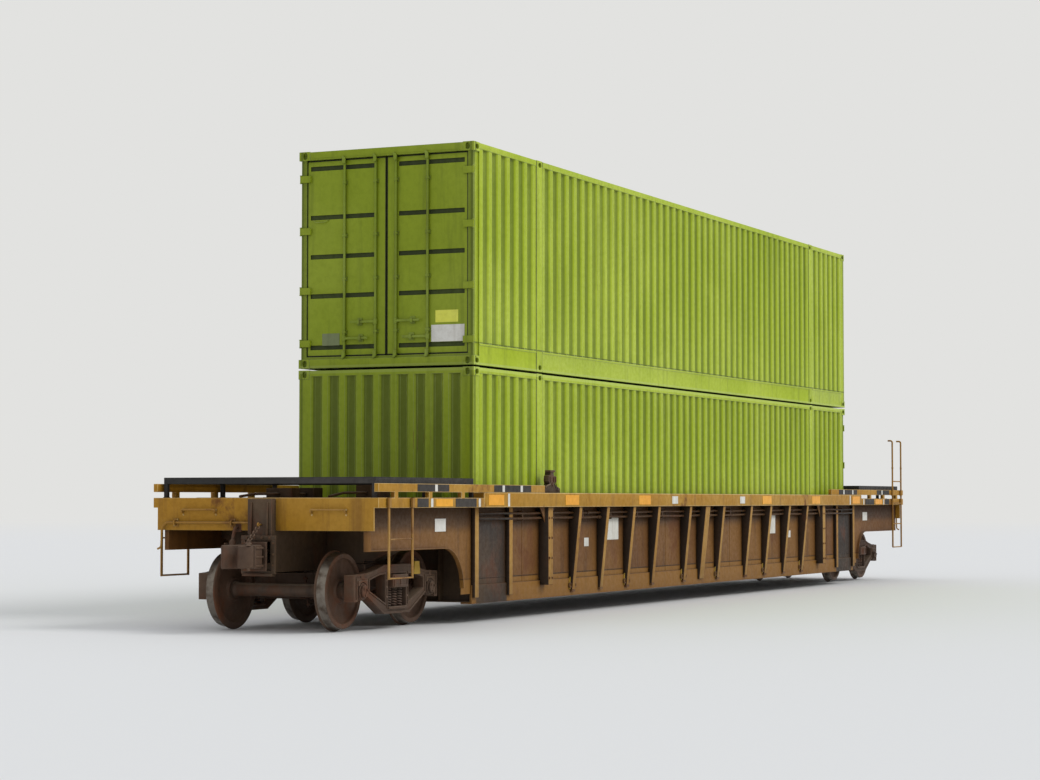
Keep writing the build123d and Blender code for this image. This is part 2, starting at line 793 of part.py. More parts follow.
def wheel():
    """The +Y wheel of an axle on the Y axis: flange towards the middle, rim, plate and hub."""
    back = back_to_back / 2
    front = back + rim_width
    tread = wheel_diameter / 2
    slope = math.degrees(math.atan2(flange_depth, flange_width))
    body = faceted(tread + flange_depth, (back, back + flange_width), wheel_sides, slope)
    body += faceted(tread, (back + flange_width, front), wheel_sides)
    plate = (front - plate_inset - plate_thickness, front - plate_inset)
    for y in ((back, plate[0]), (plate[1], front)):
        body -= faceted(tread - rim_depth, y, wheel_sides)
    body += faceted(hub_radius, (plate[0], hub_face), axle_sides)
    return body - faceted(wheel_seat_radius, (back, front), axle_sides)


def axle():
    """The axle with its wheel seats, roller bearings and end caps."""
    low, high = journal_y - bearing_length / 2, journal_y + bearing_length / 2
    bearing = Pos(0, journal_y, 0) * Rot(90, 0, 0) * Cylinder(bearing_radius, bearing_length)
    end = faceted(wheel_seat_radius, (back_to_back / 2 - seat_overhang, low), axle_sides) + bearing
    end += faceted(end_cap_radius, (high, high + end_cap_length), axle_sides)
    inner = back_to_back / 2 - seat_overhang
    return faceted(axle_radius, (-inner, inner), axle_sides) + end + other_side(end)


def connectors():
    """The four twist-lock blocks between the stacking posts of the two containers."""
    x = (slot_spacing_x / 2 - 70, slot_spacing_x / 2 + 70)
    y = (slot_spacing_y / 2 - 50, slot_spacing_y / 2 + 110)
    base = rail + box_base + box_height
    piece = block(x, y, (base, base + stack_gap))
    pair = [piece, other_side(piece)]
    return joined(pair + [other_end(p) for p in pair])


def save(name, shape):
    export_step(Compound(children=list(shape.solids())), f"parts/{name}.step")


def save_container(name, base, turn):
    """Writes the pieces of one container. It is turned round where its doors face +X."""
    place = Pos(0, 0, base) * Rot(0, 0, turn)
    side = container_side()
    leaf = door_leaf()
    gear = door_gear()
    save(f"{name}_side_left", place * side)
    save(f"{name}_side_right", place * other_side(side))
    save(f"{name}_roof", place * container_roof())
    save(f"{name}_floor", place * container_floor())
    save(f"{name}_front", place * container_front())
    save(f"{name}_door_frame", place * container_rear())
    if turn:
        save(f"{name}_doors", place * joined([leaf, other_side(leaf)]))
        save(f"{name}_door_gear", place * joined([gear, other_side(gear)]))
    else:
        save(f"{name}_door_left", place * leaf)
        save(f"{name}_door_right", place * other_side(leaf))
        save(f"{name}_door_gear_left", place * gear)
        save(f"{name}_door_gear_right", place * other_side(gear))


def save_truck(end, x):
    place = Pos(x, 0, 0)
    frame = side_frame()
    beam = brake_beam()
    save(f"side_frames_{end}", place * joined([frame, other_side(frame), beam, other_end(beam)]))
    save(f"truck_bolster_{end}", place * truck_bolster())
    save(f"springs_{end}", place * springs())
    for name, middle in (("outer", math.copysign(half_base, x)), ("inner", -math.copysign(half_base, x))):
        on_axle = Pos(x + middle, 0, axle_height)
        save(f"wheels_{end}_{name}", on_axle * joined([wheel(), other_side(wheel())]))
        save(f"axle_{end}_{name}", on_axle * axle())


os.makedirs("parts", exist_ok=True)
for name, make in (("top_chord", top_chord), ("side_sheet", side_sheet), ("side_posts", side_posts),
                   ("bottom_chord", bottom_chord)):
    left = make()
    save(f"{name}_left", left)
    save(f"{name}_right", other_side(left))
save("floor_frame", floor_frame())
save("floor_braces", floor_braces())
for name, make in (("bulkhead", bulkhead), ("stub_sill", stub_sill), ("body_bolster", body_bolster),
                   ("end_deck", end_deck), ("walkway", walkway), ("coupler", coupler)):
    end = make()
    save(f"{name}_b", end)
    save(f"{name}_a", turned_round(end))
save("side_ladder", side_ladder())
save("corner_steps", corner_steps())
save("brake_stand", brake_stand())
save("container_guides", guides())
save_container("lower", rail + box_base, 180)
save_container("upper", rail + box_base + box_height + stack_gap, 0)
save("stack_connectors", connectors())
save_truck("a", -truck_x)
save_truck("b", truck_x)
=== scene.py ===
# Looks of a container well car with two stacked containers: finishes, rounded edges, rolling gear,
# door gear, walkways and fittings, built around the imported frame. All sizes are in metres.
import json
import math

import bmesh
import bpy
from mathutils import Matrix, Vector

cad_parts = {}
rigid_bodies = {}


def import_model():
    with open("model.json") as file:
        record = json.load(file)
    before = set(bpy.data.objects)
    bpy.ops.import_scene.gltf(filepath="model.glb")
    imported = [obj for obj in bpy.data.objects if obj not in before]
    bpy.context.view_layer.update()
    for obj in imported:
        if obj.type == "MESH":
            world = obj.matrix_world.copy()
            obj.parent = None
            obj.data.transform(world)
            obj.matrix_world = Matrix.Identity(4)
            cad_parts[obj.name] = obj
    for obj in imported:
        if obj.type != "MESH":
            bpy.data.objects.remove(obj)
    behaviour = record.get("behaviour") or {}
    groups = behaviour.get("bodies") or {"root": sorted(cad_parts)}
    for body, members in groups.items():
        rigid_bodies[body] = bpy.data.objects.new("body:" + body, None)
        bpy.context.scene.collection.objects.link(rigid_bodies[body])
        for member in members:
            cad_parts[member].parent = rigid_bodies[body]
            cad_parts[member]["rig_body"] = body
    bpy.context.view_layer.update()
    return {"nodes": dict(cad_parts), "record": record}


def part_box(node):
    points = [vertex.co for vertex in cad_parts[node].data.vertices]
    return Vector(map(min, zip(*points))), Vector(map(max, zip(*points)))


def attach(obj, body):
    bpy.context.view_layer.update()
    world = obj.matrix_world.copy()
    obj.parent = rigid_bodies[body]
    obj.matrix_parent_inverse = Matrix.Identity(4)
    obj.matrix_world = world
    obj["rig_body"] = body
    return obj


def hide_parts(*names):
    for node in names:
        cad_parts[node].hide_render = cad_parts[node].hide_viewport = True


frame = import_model()
nodes = frame["nodes"]
scene = bpy.context.scene
slotOf = {row["node"]: row["material_slot"] for row in frame["record"]["subparts"]}
bodyOf = {name: node["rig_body"] for name, node in nodes.items()}
print("stage: frame loaded,", len(nodes), "nodes")


# Shader helpers

def tint(red, green, blue):
    # screen values from 0 to 255 as the colour that a shader takes
    return tuple(((v / 255 + 0.055) / 1.055) ** 2.4 for v in (red, green, blue)) + (1.0,)


def addNode(tree, kind, inputs=None, **settings):
    node = tree.nodes.new(kind)
    for key, value in settings.items():
        setattr(node, key, value)
    for key, value in (inputs or {}).items():
        if isinstance(value, bpy.types.NodeSocket):
            tree.links.new(value, node.inputs[key])
        else:
            node.inputs[key].default_value = value
    return node


def blendColour(tree, share, under, over):
    return addNode(tree, "ShaderNodeMix", {0: share, 6: under, 7: over}, data_type="RGBA").outputs[2]


def cloud(tree, place, scale, stretch=(1, 1, 1), detail=6, rough=0.55):
    spread = addNode(tree, "ShaderNodeMapping", {"Vector": place, "Scale": stretch}).outputs[0]
    given = {"Vector": spread, "Scale": scale, "Detail": detail, "Roughness": rough}
    return addNode(tree, "ShaderNodeTexNoise", given).outputs["Fac"]


def ramp(tree, value, low, high, start=0.0, end=1.0):
    given = {0: value, 1: low, 2: high, 3: start, 4: end}
    return addNode(tree, "ShaderNodeMapRange", given, interpolation_type="SMOOTHSTEP").outputs[0]


def math2(tree, way, first, second=0.0):
    return addNode(tree, "ShaderNodeMath", {0: first, 1: second}, operation=way).outputs[0]


def startMaterial(name):
    material = bpy.data.materials.new(name)
    material.use_nodes = True
    tree = material.node_tree
    return material, tree, tree.nodes["Principled BSDF"], addNode(tree, "ShaderNodeTexCoord").outputs


def addBump(tree, shader, height, strength, distance):
    bump = addNode(tree, "ShaderNodeBump", {"Height": height, "Strength": strength, "Distance": distance})
    tree.links.new(bump.outputs[0], shader.inputs["Normal"])


# What a finish takes if its look doesn't say otherwise
plainLook = {
    "fade": (0.38, 0.66), "streaks": 0.4, "streakPlace": (0.5, 0.72), "rustShare": 0.85,
    "grime": (60, 50, 40), "grimeShare": 0.5, "grimeHeights": (0.2, 1.2), "dust": (150, 140, 120),
    "dustShare": 0.35, "rough": (0.5, 0.8), "gloss": 0.3, "bump": 0.25, "bumpScale": 45.0, "bands": (),
    "nook": 0.09, "nookShare": 0.75, "nookDepth": (0.35, 0.92), "endShadeShare": 0.0, "endWall": (7.93, 7.97),
}


def wornPaint(name, base, faded, streak=(70, 60, 50), rust=(84, 48, 26), rustPlace=(0.62, 0.7), **changes):
    # paint that fades in clouds, runs in streaks, rusts in patches and gathers grime low down, with painted
    # shade in corners and on the end walls
    look = {**plainLook, **changes}
    base, faded, streak, rust = (tint(*shown) for shown in (base, faded, streak, rust))
    nookShade = tuple(0.12 * v for v in base[:3]) + (1.0,)
    material, tree, shader, coordinates = startMaterial(name)
    place = coordinates["Object"]
    parts = addNode(tree, "ShaderNodeSeparateXYZ", {0: place}).outputs
    upward = addNode(tree, "ShaderNodeSeparateXYZ",
                     {0: addNode(tree, "ShaderNodeNewGeometry").outputs["Normal"]}).outputs[2]

    wide = cloud(tree, place, 0.55)
    colour = blendColour(tree, ramp(tree, wide, *look["fade"]), base, faded)
    fine = cloud(tree, place, 14, detail=5, rough=0.65)
    colour = blendColour(tree, ramp(tree, fine, 0.3, 0.8, 0.0, 0.25), colour, streak)
    run = cloud(tree, place, 2.2, (3.2, 3.2, 0.22), 5, 0.6)
    colour = blendColour(tree, ramp(tree, run, *look["streakPlace"], 0.0, look["streaks"]), colour, streak)
    low = ramp(tree, parts[2], *look["grimeHeights"][::-1], 0.0, look["grimeShare"])
    low = math2(tree, "MULTIPLY", low, ramp(tree, cloud(tree, place, 1.7), 0.25, 0.7, 0.4, 1.0))
    colour = blendColour(tree, low, colour, tint(*look["grime"]))
    # bands of colour, painted shade or painted highlight between two distances from the middle along an axis,
    # with the width of their soft edges
    for axis, start, end, soft, shown, share in look["bands"]:
        across = math2(tree, "ABSOLUTE", parts[axis])
        rises, falls = ramp(tree, across, start - soft, start), ramp(tree, across, end + soft, end)
        inside = math2(tree, "MULTIPLY", rises, falls)
        worn = math2(tree, "MULTIPLY", inside, ramp(tree, wide, 0.75, 0.45, 0.75 * share, share))
        colour = blendColour(tree, worn, colour, tint(*shown))
    if look["endShadeShare"]:
        # painted shade: the end walls are darkened against the sides, as if the light fell on the sides only
        sideways = addNode(tree, "ShaderNodeSeparateXYZ", {0: coordinates["Normal"]}).outputs[1]
        turned = ramp(tree, math2(tree, "ABSOLUTE", sideways), 0.99, 0.9, 0.0, look["endShadeShare"])
        outer = ramp(tree, math2(tree, "ABSOLUTE", parts[0]), *look["endWall"])
        colour = blendColour(tree, math2(tree, "MULTIPLY", turned, outer), colour, nookShade)
    rusty = ramp(tree, cloud(tree, place, 1.3, (1, 1, 0.7), 9, 0.68), *rustPlace, 0.0, look["rustShare"])
    colour = blendColour(tree, rusty, colour, rust)
    colour = blendColour(tree, ramp(tree, upward, 0.6, 0.95, 0.0, look["dustShare"]), colour,
                         tint(*look["dust"]))
    # painted shade in corners and grooves, from the ambient-occlusion node
    openness = addNode(tree, "ShaderNodeAmbientOcclusion", {"Distance": look["nook"]},
                       samples=4).outputs["AO"]
    paintedNookShade = ramp(tree, openness, *look["nookDepth"][::-1], 0.0, look["nookShare"])
    colour = blendColour(tree, paintedNookShade, colour, blendColour(tree, 0.35, nookShade, base))
    tree.links.new(colour, shader.inputs["Base Color"])
    rough = ramp(tree, math2(tree, "MAXIMUM", rusty, fine), 0.25, 0.85, *look["rough"])
    tree.links.new(rough, shader.inputs["Roughness"])
    shader.inputs["Specular IOR Level"].default_value = look["gloss"]
    skin = cloud(tree, place, look["bumpScale"], detail=5, rough=0.6)
    addBump(tree, shader, math2(tree, "ADD", skin, rusty), look["bump"], 0.003)
    return material


def wornTread(name, bright, dull, rough):
    # bare worked steel with fine turned lines and dull stains
    material, tree, shader, coordinates = startMaterial(name)
    stain = cloud(tree, coordinates["Object"], 9)
    colour = blendColour(tree, ramp(tree, stain, 0.4, 0.7), tint(*bright), tint(*dull))
    tree.links.new(colour, shader.inputs["Base Color"])
    tree.links.new(ramp(tree, stain, 0.3, 0.7, *rough), shader.inputs["Roughness"])
    shader.inputs["Metallic"].default_value = 0.85
    addBump(tree, shader, cloud(tree, coordinates["Object"], 3, (1, 160, 1), 3), 0.15, 0.001)
    return material


# Finishes of the record's slots, of worn edges, which are rubbed paint and also painted highlights along the
# edges, and of what is added. After the name come the base, faded, streak and rust colours, and the noise
# levels between which rust shows.
# Each band: axis, start, end, soft edge, colour, share
# Painted shade and painted highlights on the containers: shade at the bottoms of the side grooves, in the
# grooves of the end walls, in the slots beside the corner posts and under the lips of the bottom rails, and
# painted highlights along the rails where the two containers meet
greenShadeAndHighlightBands = (
    (1, 1.246, 1.258, 0.022, (66, 84, 8), 0.6), (0, 8.01, 8.042, 0.014, (48, 62, 4), 0.62),
    (0, 6.098, 6.114, 0.006, (26, 34, 8), 0.95), (0, 5.900, 5.914, 0.006, (26, 34, 8), 0.9),
    (2, 3.600, 3.614, 0.008, (40, 52, 10), 0.7), (2, 0.679, 0.693, 0.008, (40, 52, 10), 0.7),
    (2, 3.248, 3.300, 0.004, (186, 204, 96), 0.55), (2, 3.309, 3.350, 0.004, (186, 204, 96), 0.55),
)
# Bands of the side sheets: a paler lower strip, the dark weld line, painted shade under the chord at the top
# of the sheet, and the black end panels
brownPaintAndShadeBands = (
    (2, 0.2, 0.56, 0.02, (146, 102, 34), 0.6), (2, 0.563, 0.573, 0.008, (46, 28, 14), 0.8),
    (2, 1.27, 1.5, 0.14, (44, 28, 16), 0.7), (0, 7.26, 8.14, 0.05, (36, 33, 31), 0.95),
)
greenLook = {"streak": (112, 128, 16), "rustShare": 0.7, "grime": (100, 112, 34), "grimeShare": 0.2,
             "grimeHeights": (0.3, 1.8), "dust": (150, 166, 80), "rough": (0.4, 0.64), "bump": 0.12,
             "endShadeShare": 0.44}
green, greenFaded = (166, 186, 18), (178, 196, 46)
greenRust = {"rust": (96, 70, 30), "rustPlace": (0.7, 0.78)}
finishes = {
    "container_green": wornPaint("containerGreen", green, greenFaded, bands=greenShadeAndHighlightBands, **greenRust,
                                 **greenLook),
    "chord_ochre": wornPaint("chordOchre", (170, 122, 24), (182, 138, 48), (100, 62, 24), (96, 54, 24),
                             (0.58, 0.68),
                             streaks=0.5, grime=(84, 62, 38), dust=(190, 160, 104), dustShare=0.7),
    "sheet_brown": wornPaint("sheetBrown", (106, 68, 26), (126, 86, 34), (66, 40, 18), (92, 50, 24),
                             (0.54, 0.68),
                             streaks=0.55, rustShare=0.6, grime=(82, 58, 30), grimeHeights=(0.15, 0.8),
                             nook=0.3, nookShare=0.85, bands=brownPaintAndShadeBands),
    "post_ochre": wornPaint("postOchre", (158, 114, 40), (174, 134, 64), (100, 64, 28), (96, 56, 30),
                            (0.57, 0.68), streaks=0.45, grime=(92, 66, 40), grimeHeights=(0.2, 0.9)),
    "frame_dark": wornPaint("frameDark", (74, 58, 42), (96, 74, 50), (44, 34, 26), (84, 50, 30), (0.52, 0.66),
                            dust=(112, 96, 74)),
    "walkway_black": wornPaint("walkwayBlack", (44, 43, 42), (66, 62, 58), (30, 28, 26), (86, 56, 38),
                               (0.64, 0.72), dust=(108, 100, 88), dustShare=0.3, bump=0.5, bumpScale=160.0),
    "casting_steel": wornPaint("castingSteel", (82, 62, 48), (104, 80, 60), (50, 38, 30), (96, 56, 32),
                               (0.48, 0.66),
                               dust=(120, 104, 84), rough=(0.6, 0.85), bump=0.55, bumpScale=70.0),
    "spring_steel": wornPaint("springSteel", (78, 58, 44), (96, 70, 52), rust=(104, 60, 34),
                              rustPlace=(0.46, 0.62)),
    "wheel_steel": wornPaint("wheelSteel", (92, 68, 52), (112, 84, 64), (60, 44, 34), (102, 60, 36),
                             (0.5, 0.66), dust=(110, 92, 72), rough=(0.55, 0.85), bump=0.4, bumpScale=60.0),
    "axle_steel": wornPaint("axleSteel", (86, 66, 52), (104, 80, 62), (40, 32, 26), (96, 58, 36), (0.5, 0.66),
                            streaks=0.6, rough=(0.5, 0.8)),
    "rod_steel": wornPaint("rodSteel", (124, 142, 30), (142, 158, 62), (84, 84, 34), (110, 66, 34),
                           (0.58, 0.66), streaks=0.6, grimeShare=0.1, rough=(0.4, 0.6)),
    "floor_wood": wornPaint("floorWood", (46, 44, 40), (64, 58, 50), rust=(80, 52, 34), dust=(142, 104, 66),
                            dustShare=0.92, bump=0.3),
}
# Worn edges: rubbed paint that is also a painted highlight along the edges, paler on the containers, chords,
# sheets, frames and castings, and darker with rust on the posts
edgeWearAndHighlight = {
    "container_green": wornPaint("greenEdge", (166, 184, 84), (184, 198, 110), rust=(104, 66, 34),
                                 rustPlace=(0.6, 0.66), bands=greenShadeAndHighlightBands[:1], **greenLook),
    "chord_ochre": wornPaint("ochreEdge", (200, 162, 92), (216, 186, 130), rust=(110, 66, 34),
                             rustPlace=(0.56, 0.66), streaks=0.3),
    "sheet_brown": wornPaint("sheetEdge", (122, 84, 46), (142, 104, 62), rust=(86, 50, 28),
                             rustPlace=(0.45, 0.6), streaks=0.3),
    "post_ochre": wornPaint("postEdge", (132, 92, 50), (164, 124, 74), rust=(92, 52, 28),
                            rustPlace=(0.42, 0.55), streaks=0.3),
    "frame_dark": wornPaint("frameEdge", (96, 72, 50), (112, 88, 62), rust=(92, 54, 32),
                            rustPlace=(0.45, 0.6), streaks=0.3),
    "casting_steel": wornPaint("castingEdge", (108, 84, 66), (124, 98, 76), rust=(104, 62, 38),
                               rustPlace=(0.5, 0.66), streaks=0.2, bump=0.4),
}
castLooks = finishes["casting_steel"], edgeWearAndHighlight["casting_steel"]
doorPaint = wornPaint("doorPaint", green, greenFaded, **greenRust, **greenLook)
rubber = wornPaint("doorRubber", (30, 34, 18), (44, 48, 28), (22, 24, 14), rustShare=0.0, rough=(0.6, 0.8),
                   bump=0.2)
plateWhite = wornPaint("plateWhite", (214, 212, 202), (226, 224, 216), (150, 138, 116), (130, 96, 62),
                       (0.66, 0.74), streaks=0.35, dustShare=0.1)
patchYellow = wornPaint("patchYellow", (236, 158, 0), (240, 170, 22), (150, 96, 20), (120, 74, 34),
                        (0.68, 0.76), streaks=0.25, rough=(0.3, 0.5))
patchBlack = wornPaint("patchBlack", (44, 40, 37), (62, 56, 50), (34, 30, 27), (86, 56, 36), (0.62, 0.74))
footYellow = wornPaint("footYellow", (186, 146, 34), (196, 162, 66), (120, 84, 34), (100, 58, 30),
                       (0.52, 0.64))
# painted shade, with some dirt, for the post faces that look along the car, also given to the clamp bolts in
# the shade under the chord
postShadow = wornPaint("postSidesShade", (40, 28, 17), (60, 42, 24), (24, 18, 12), (80, 46, 24), (0.58, 0.7))
# painted shade in the grooves of the door leaves
grooveShade = wornPaint("grooveShade", (46, 56, 10), (64, 76, 18), (30, 36, 10), rustShare=0.2, dustShare=0.2)
zincPlate = wornPaint("zincPlate", (116, 126, 84), (134, 142, 104), (84, 88, 60), (120, 84, 54), (0.66, 0.76),
                      rough=(0.35, 0.55))
lemonLabel = wornPaint("lemonLabel", (222, 222, 44), (226, 226, 96), (150, 146, 50), (130, 110, 60),
                       (0.7, 0.8), streaks=0.25, rough=(0.35, 0.55))
treadSteel = wornTread("treadSteel", (126, 118, 108), (86, 74, 64), (0.34, 0.55))
print("stage: finishes ready,", len(bpy.data.materials), "materials")


# Outline helpers

def about(middle, half):
    return middle - half, middle + half


def bentCorner(corner, start, end, steps):
    # a soft curve from start to end, drawn towards the corner
    shares = [step / steps for step in range(steps + 1)]
    return [start.lerp(corner, share).lerp(corner.lerp(end, share), share) for share in shares]


def roundPath(points, bend, steps):
    points = [Vector(p) for p in points]
    path = points[:1]
    for before, corner, after in zip(points, points[1:], points[2:]):
        back, on = before - corner, after - corner
        reach = min(bend, back.length / 2, on.length / 2)
        start, end = (corner + way.normalized() * reach for way in (back, on))
        path += bentCorner(corner, start, end, steps)
    return path + points[-1:]


def neighbours(points):
    # each corner of a closed outline between the ones before and after it
    points = [Vector(p) for p in points]
    return zip(points[-1:] + points[:-1], points, points[1:] + points[:1])


def softOutline(points, bend, steps=4):
    soft = []
    for before, corner, after in neighbours(points):
        ways = before - corner, after - corner
        start, end = (corner + way.normalized() * min(bend, way.length * 0.45) for way in ways)
        soft += bentCorner(corner, start, end, steps)
    return soft


def turning(points):
    # anticlockwise order
    area = sum(a[0] * b[1] - b[0] * a[1] for a, b in zip(points, points[1:] + points[:1]))
    return list(points) if area > 0 else list(points)[::-1]


def insetOutline(points, inset):
    # an anticlockwise outline drawn in by an even width
    moved = []
    for before, here, after in neighbours(points):
        runs = (here - before).normalized(), (after - here).normalized()
        first, second = (Vector((-run.y, run.x)) for run in runs)
        bisector = (first + second).normalized()
        moved.append(here + bisector * inset / max(0.35, bisector.dot(first)))
    return moved


def mirrored(half, x=0, y=0):
    # the right half of an outline and its mirror image, moved to a place
    return [(x + a, y + b) for a, b in half] + [(x - a, y + b) for a, b in half[::-1]]


# Piece helpers

def enter(name, mesh, looks=()):
    piece = bpy.data.objects.new(name, mesh)
    scene.collection.objects.link(piece)
    for look in looks:
        mesh.materials.append(look)
    return piece


def settle(piece):
    # the modifiers' result becomes the mesh itself
    bpy.context.view_layer.update()
    mesh = bpy.data.meshes.new_from_object(piece.evaluated_get(bpy.context.evaluated_depsgraph_get()))
    piece.modifiers.clear()
    piece.data = mesh


def roundEdges(piece, width, segments, limit=30):
    modifier = piece.modifiers.new("edges", "BEVEL")
    modifier.width, modifier.segments = width, segments
    modifier.limit_method, modifier.angle_limit = "ANGLE", math.radians(limit)
    modifier.use_clamp_overlap = False
    modifier.material = min(1, len(piece.data.materials) - 1)
    settle(piece)


def release(piece, body, smooth=38, replaced=None):
    # the last steps of each piece: shading, body, and hiding the node that it stands for
    piece.data.shade_smooth()
    piece.data.set_sharp_from_angle(angle=math.radians(smooth))
    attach(piece, body)
    if replaced:
        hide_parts(replaced)


class Draft:
    # a mesh in the making: what is drawn in it is moved to its place, and keep makes a piece of it

    def __init__(self, place=None):
        self.bm, self.place, self.studs = bmesh.new(), place or Matrix(), []

    def spot(self, point):
        return self.place @ Vector(point)

    def way(self, direction):
        return self.place.to_3x3() @ Vector(direction)

    def ring(self, points):
        return [self.bm.verts.new(self.spot(p)) for p in points]

    def circle(self, centre, side, other, radius, steps):
        turns = [2 * math.pi * n / steps for n in range(steps)]
        points = [centre + (side * math.cos(t) + other * math.sin(t)) * radius for t in turns]
        return [self.bm.verts.new(point) for point in points]

    def join(self, rings, closed=False):
        # walls between neighbouring rings, and a face over each end of an open row
        if not closed:
            self.bm.faces.new(rings[0])
            self.bm.faces.new(rings[-1][::-1])
        for first, second in list(zip(rings, rings[1:])) + ([(rings[-1], rings[0])] if closed else []):
            for n in range(len(first)):
                after = (n + 1) % len(first)
                self.bm.faces.new((first[n], first[after], second[after], second[n]))

    def prism(self, outline, low, high, axis=1):
        # an outline in the plane across the axis, made solid between two places on that axis
        outline = [tuple(p) for p in outline]
        self.join([self.ring([p[:axis] + (level,) + p[axis:] for p in outline]) for level in (low, high)])

    def block(self, xs, ys, zs):
        self.prism([(xs[0], ys[0]), (xs[1], ys[0]), (xs[1], ys[1]), (xs[0], ys[1])], *zs, 2)

    def turned(self, profile, centre, axis=(0, 1, 0), steps=20, closed=False):
        # (radius, place along the axis) points, turned about the axis
        axis, centre = self.way(axis).normalized(), self.spot(centre)
        side = axis.orthogonal().normalized()
        other = axis.cross(side)
        rings = [self.circle(centre + axis * along, side, other, radius, steps) for radius, along in profile]
        self.join(rings, closed)

    def drum(self, radius, low, high, centre, axis=(0, 1, 0), steps=20):
        self.turned(((radius, low), (radius, high)), centre, axis, steps)

    def rod(self, start, end, radius, steps=16, tip=None):
        run = Vector(end) - Vector(start)
        self.turned(((radius, 0), (tip or radius, run.length)), start, run, steps)

    def hoop(self, centre, axis, radius, wire, steps=20, sides=8):
        turns = [2 * math.pi * n / sides for n in range(sides)]
        profile = [(radius + wire * math.cos(t), wire * math.sin(t)) for t in turns]
        self.turned(profile, centre, axis, steps, closed=True)

    def tube(self, points, radius, steps=12, bend=0.0, bendSteps=5):
        # a round bar along a path, with its corners bent round
        path = [self.spot(p) for p in (roundPath(points, bend, bendSteps) if bend else points)]
        across, rings = None, []
        for before, point, after in zip(path[:1] + path, path, path[1:] + path[-1:]):
            along = (after - before).normalized()
            across = across or along.orthogonal().normalized()
            across = (across - along * across.dot(along)).normalized()
            rings.append(self.circle(point, across, along.cross(across), radius, steps))
        self.join(rings)

    def flatBar(self, path, halfThick, height):
        # a flat bar on edge along a level path
        rings, tall, corners = [], Vector((0, 0, height / 2)), ((1, 1), (-1, 1), (-1, -1), (1, -1))
        for before, point, after in zip(path[:1] + path, path, path[1:] + path[-1:]):
            across = (after - before).normalized().cross(Vector((0, 0, 1))).normalized() * halfThick
            rings.append(self.ring([point + a * across + b * tall for a, b in corners]))
        self.join(rings)

    def rim(self, points, width, low, high):
        # a raised band inside an outline in the XZ plane, or round it where the width is below 0
        outer = turning(points)
        inner = insetOutline(outer, width)
        self.join([self.ring([(p[0], y, p[1]) for p in line])
                   for line, y in ((outer, low), (outer, high), (inner, high), (inner, low))], closed=True)

    def crowned(self, points, low, high, crown):
        # an upright solid whose rims are drawn in a little at both ends, as cast
        levels = [(low + depth, inset) for inset, depth in crown]
        levels += [(high - depth, inset) for inset, depth in crown[::-1]]
        self.join([self.ring([(p.x, p.y, z) for p in insetOutline(points, inset)]) for z, inset in levels])

    def frameX(self, xs, ys, zs, openYs, openZs):
        # four bars round an opening that is seen along X
        for across, up in ((ys, (openZs[1], zs[1])), (ys, (zs[0], openZs[0])), ((ys[0], openYs[0]), openZs),
                           ((openYs[1], ys[1]), openZs)):
            self.block(xs, across, up)

    def stud(self, point, outward):
        self.studs.append((self.spot(point), self.way(outward)))

    def mesh(self, name):
        bmesh.ops.recalc_face_normals(self.bm, faces=self.bm.faces)
        mesh = bpy.data.meshes.new(name)
        self.bm.to_mesh(mesh)
        self.bm.free()
        return mesh

    def keep(self, name, slotName, body="car", looks=None, edge=0.0, segments=1, smooth=38, replaced=None):
        if looks is None:
            looks = [finishes[slotName]] + ([edgeWearAndHighlight[slotName]] if edge and slotName in edgeWearAndHighlight else [])
        piece = enter(name, self.mesh(name), looks)
        if edge:
            roundEdges(piece, edge, segments)
        release(piece, body, smooth, replaced)

    def keepStuds(self, name, slotName, radius, height, body="car", look=None):
        # the studs as loose points that carry their outward direction, grown by the tree
        mesh = bpy.data.meshes.new(name)
        mesh.from_pydata([place for place, outward in self.studs], [], [])
        carried = mesh.attributes.new("outward", "FLOAT_VECTOR", "POINT")
        carried.data.foreach_set("vector", [v for place, outward in self.studs for v in outward])
        look = look or edgeWearAndHighlight.get(slotName, finishes[slotName])
        values = {"Radius": radius, "Height": height, "Sides": 6, "Material": look}
        growPiece(name, studTree, mesh, values, body)


# Geometry Nodes trees

def startTree(name, **sockets):
    tree = bpy.data.node_groups.new(name, "GeometryNodeTree")
    for label, kind in (("Geometry", "Geometry"), *sockets.items(), ("Material", "Material")):
        tree.interface.new_socket(label, in_out="INPUT", socket_type="NodeSocket" + kind)
    tree.interface.new_socket("Geometry", in_out="OUTPUT", socket_type="NodeSocketGeometry")
    return tree, tree.nodes.new("NodeGroupInput").outputs


def endTree(tree, given, points, shape, **more):
    # a copy of the shape on each point, as a plain mesh with its material
    placed = addNode(tree, "GeometryNodeInstanceOnPoints",
                     {"Points": points, "Instance": shape, **more}).outputs[0]
    solid = addNode(tree, "GeometryNodeRealizeInstances", {"Geometry": placed}).outputs[0]
    done = addNode(tree, "GeometryNodeSetMaterial",
                   {"Geometry": solid, "Material": given["Material"]}).outputs[0]
    tree.links.new(done, tree.nodes.new("NodeGroupOutput").inputs[0])
    return tree


def growPiece(name, tree, start, values, body, smooth=38, replaced=None):
    # runs a tree on a start mesh and keeps the result as a plain piece
    piece = enter(name, start)
    modifier = piece.modifiers.new("grow", "NODES")
    modifier.node_group = tree
    for item in tree.interface.items_tree:
        if item.in_out == "INPUT" and item.name in values:
            modifier[item.identifier] = values[item.name]
    settle(piece)
    release(piece, body, smooth, replaced)


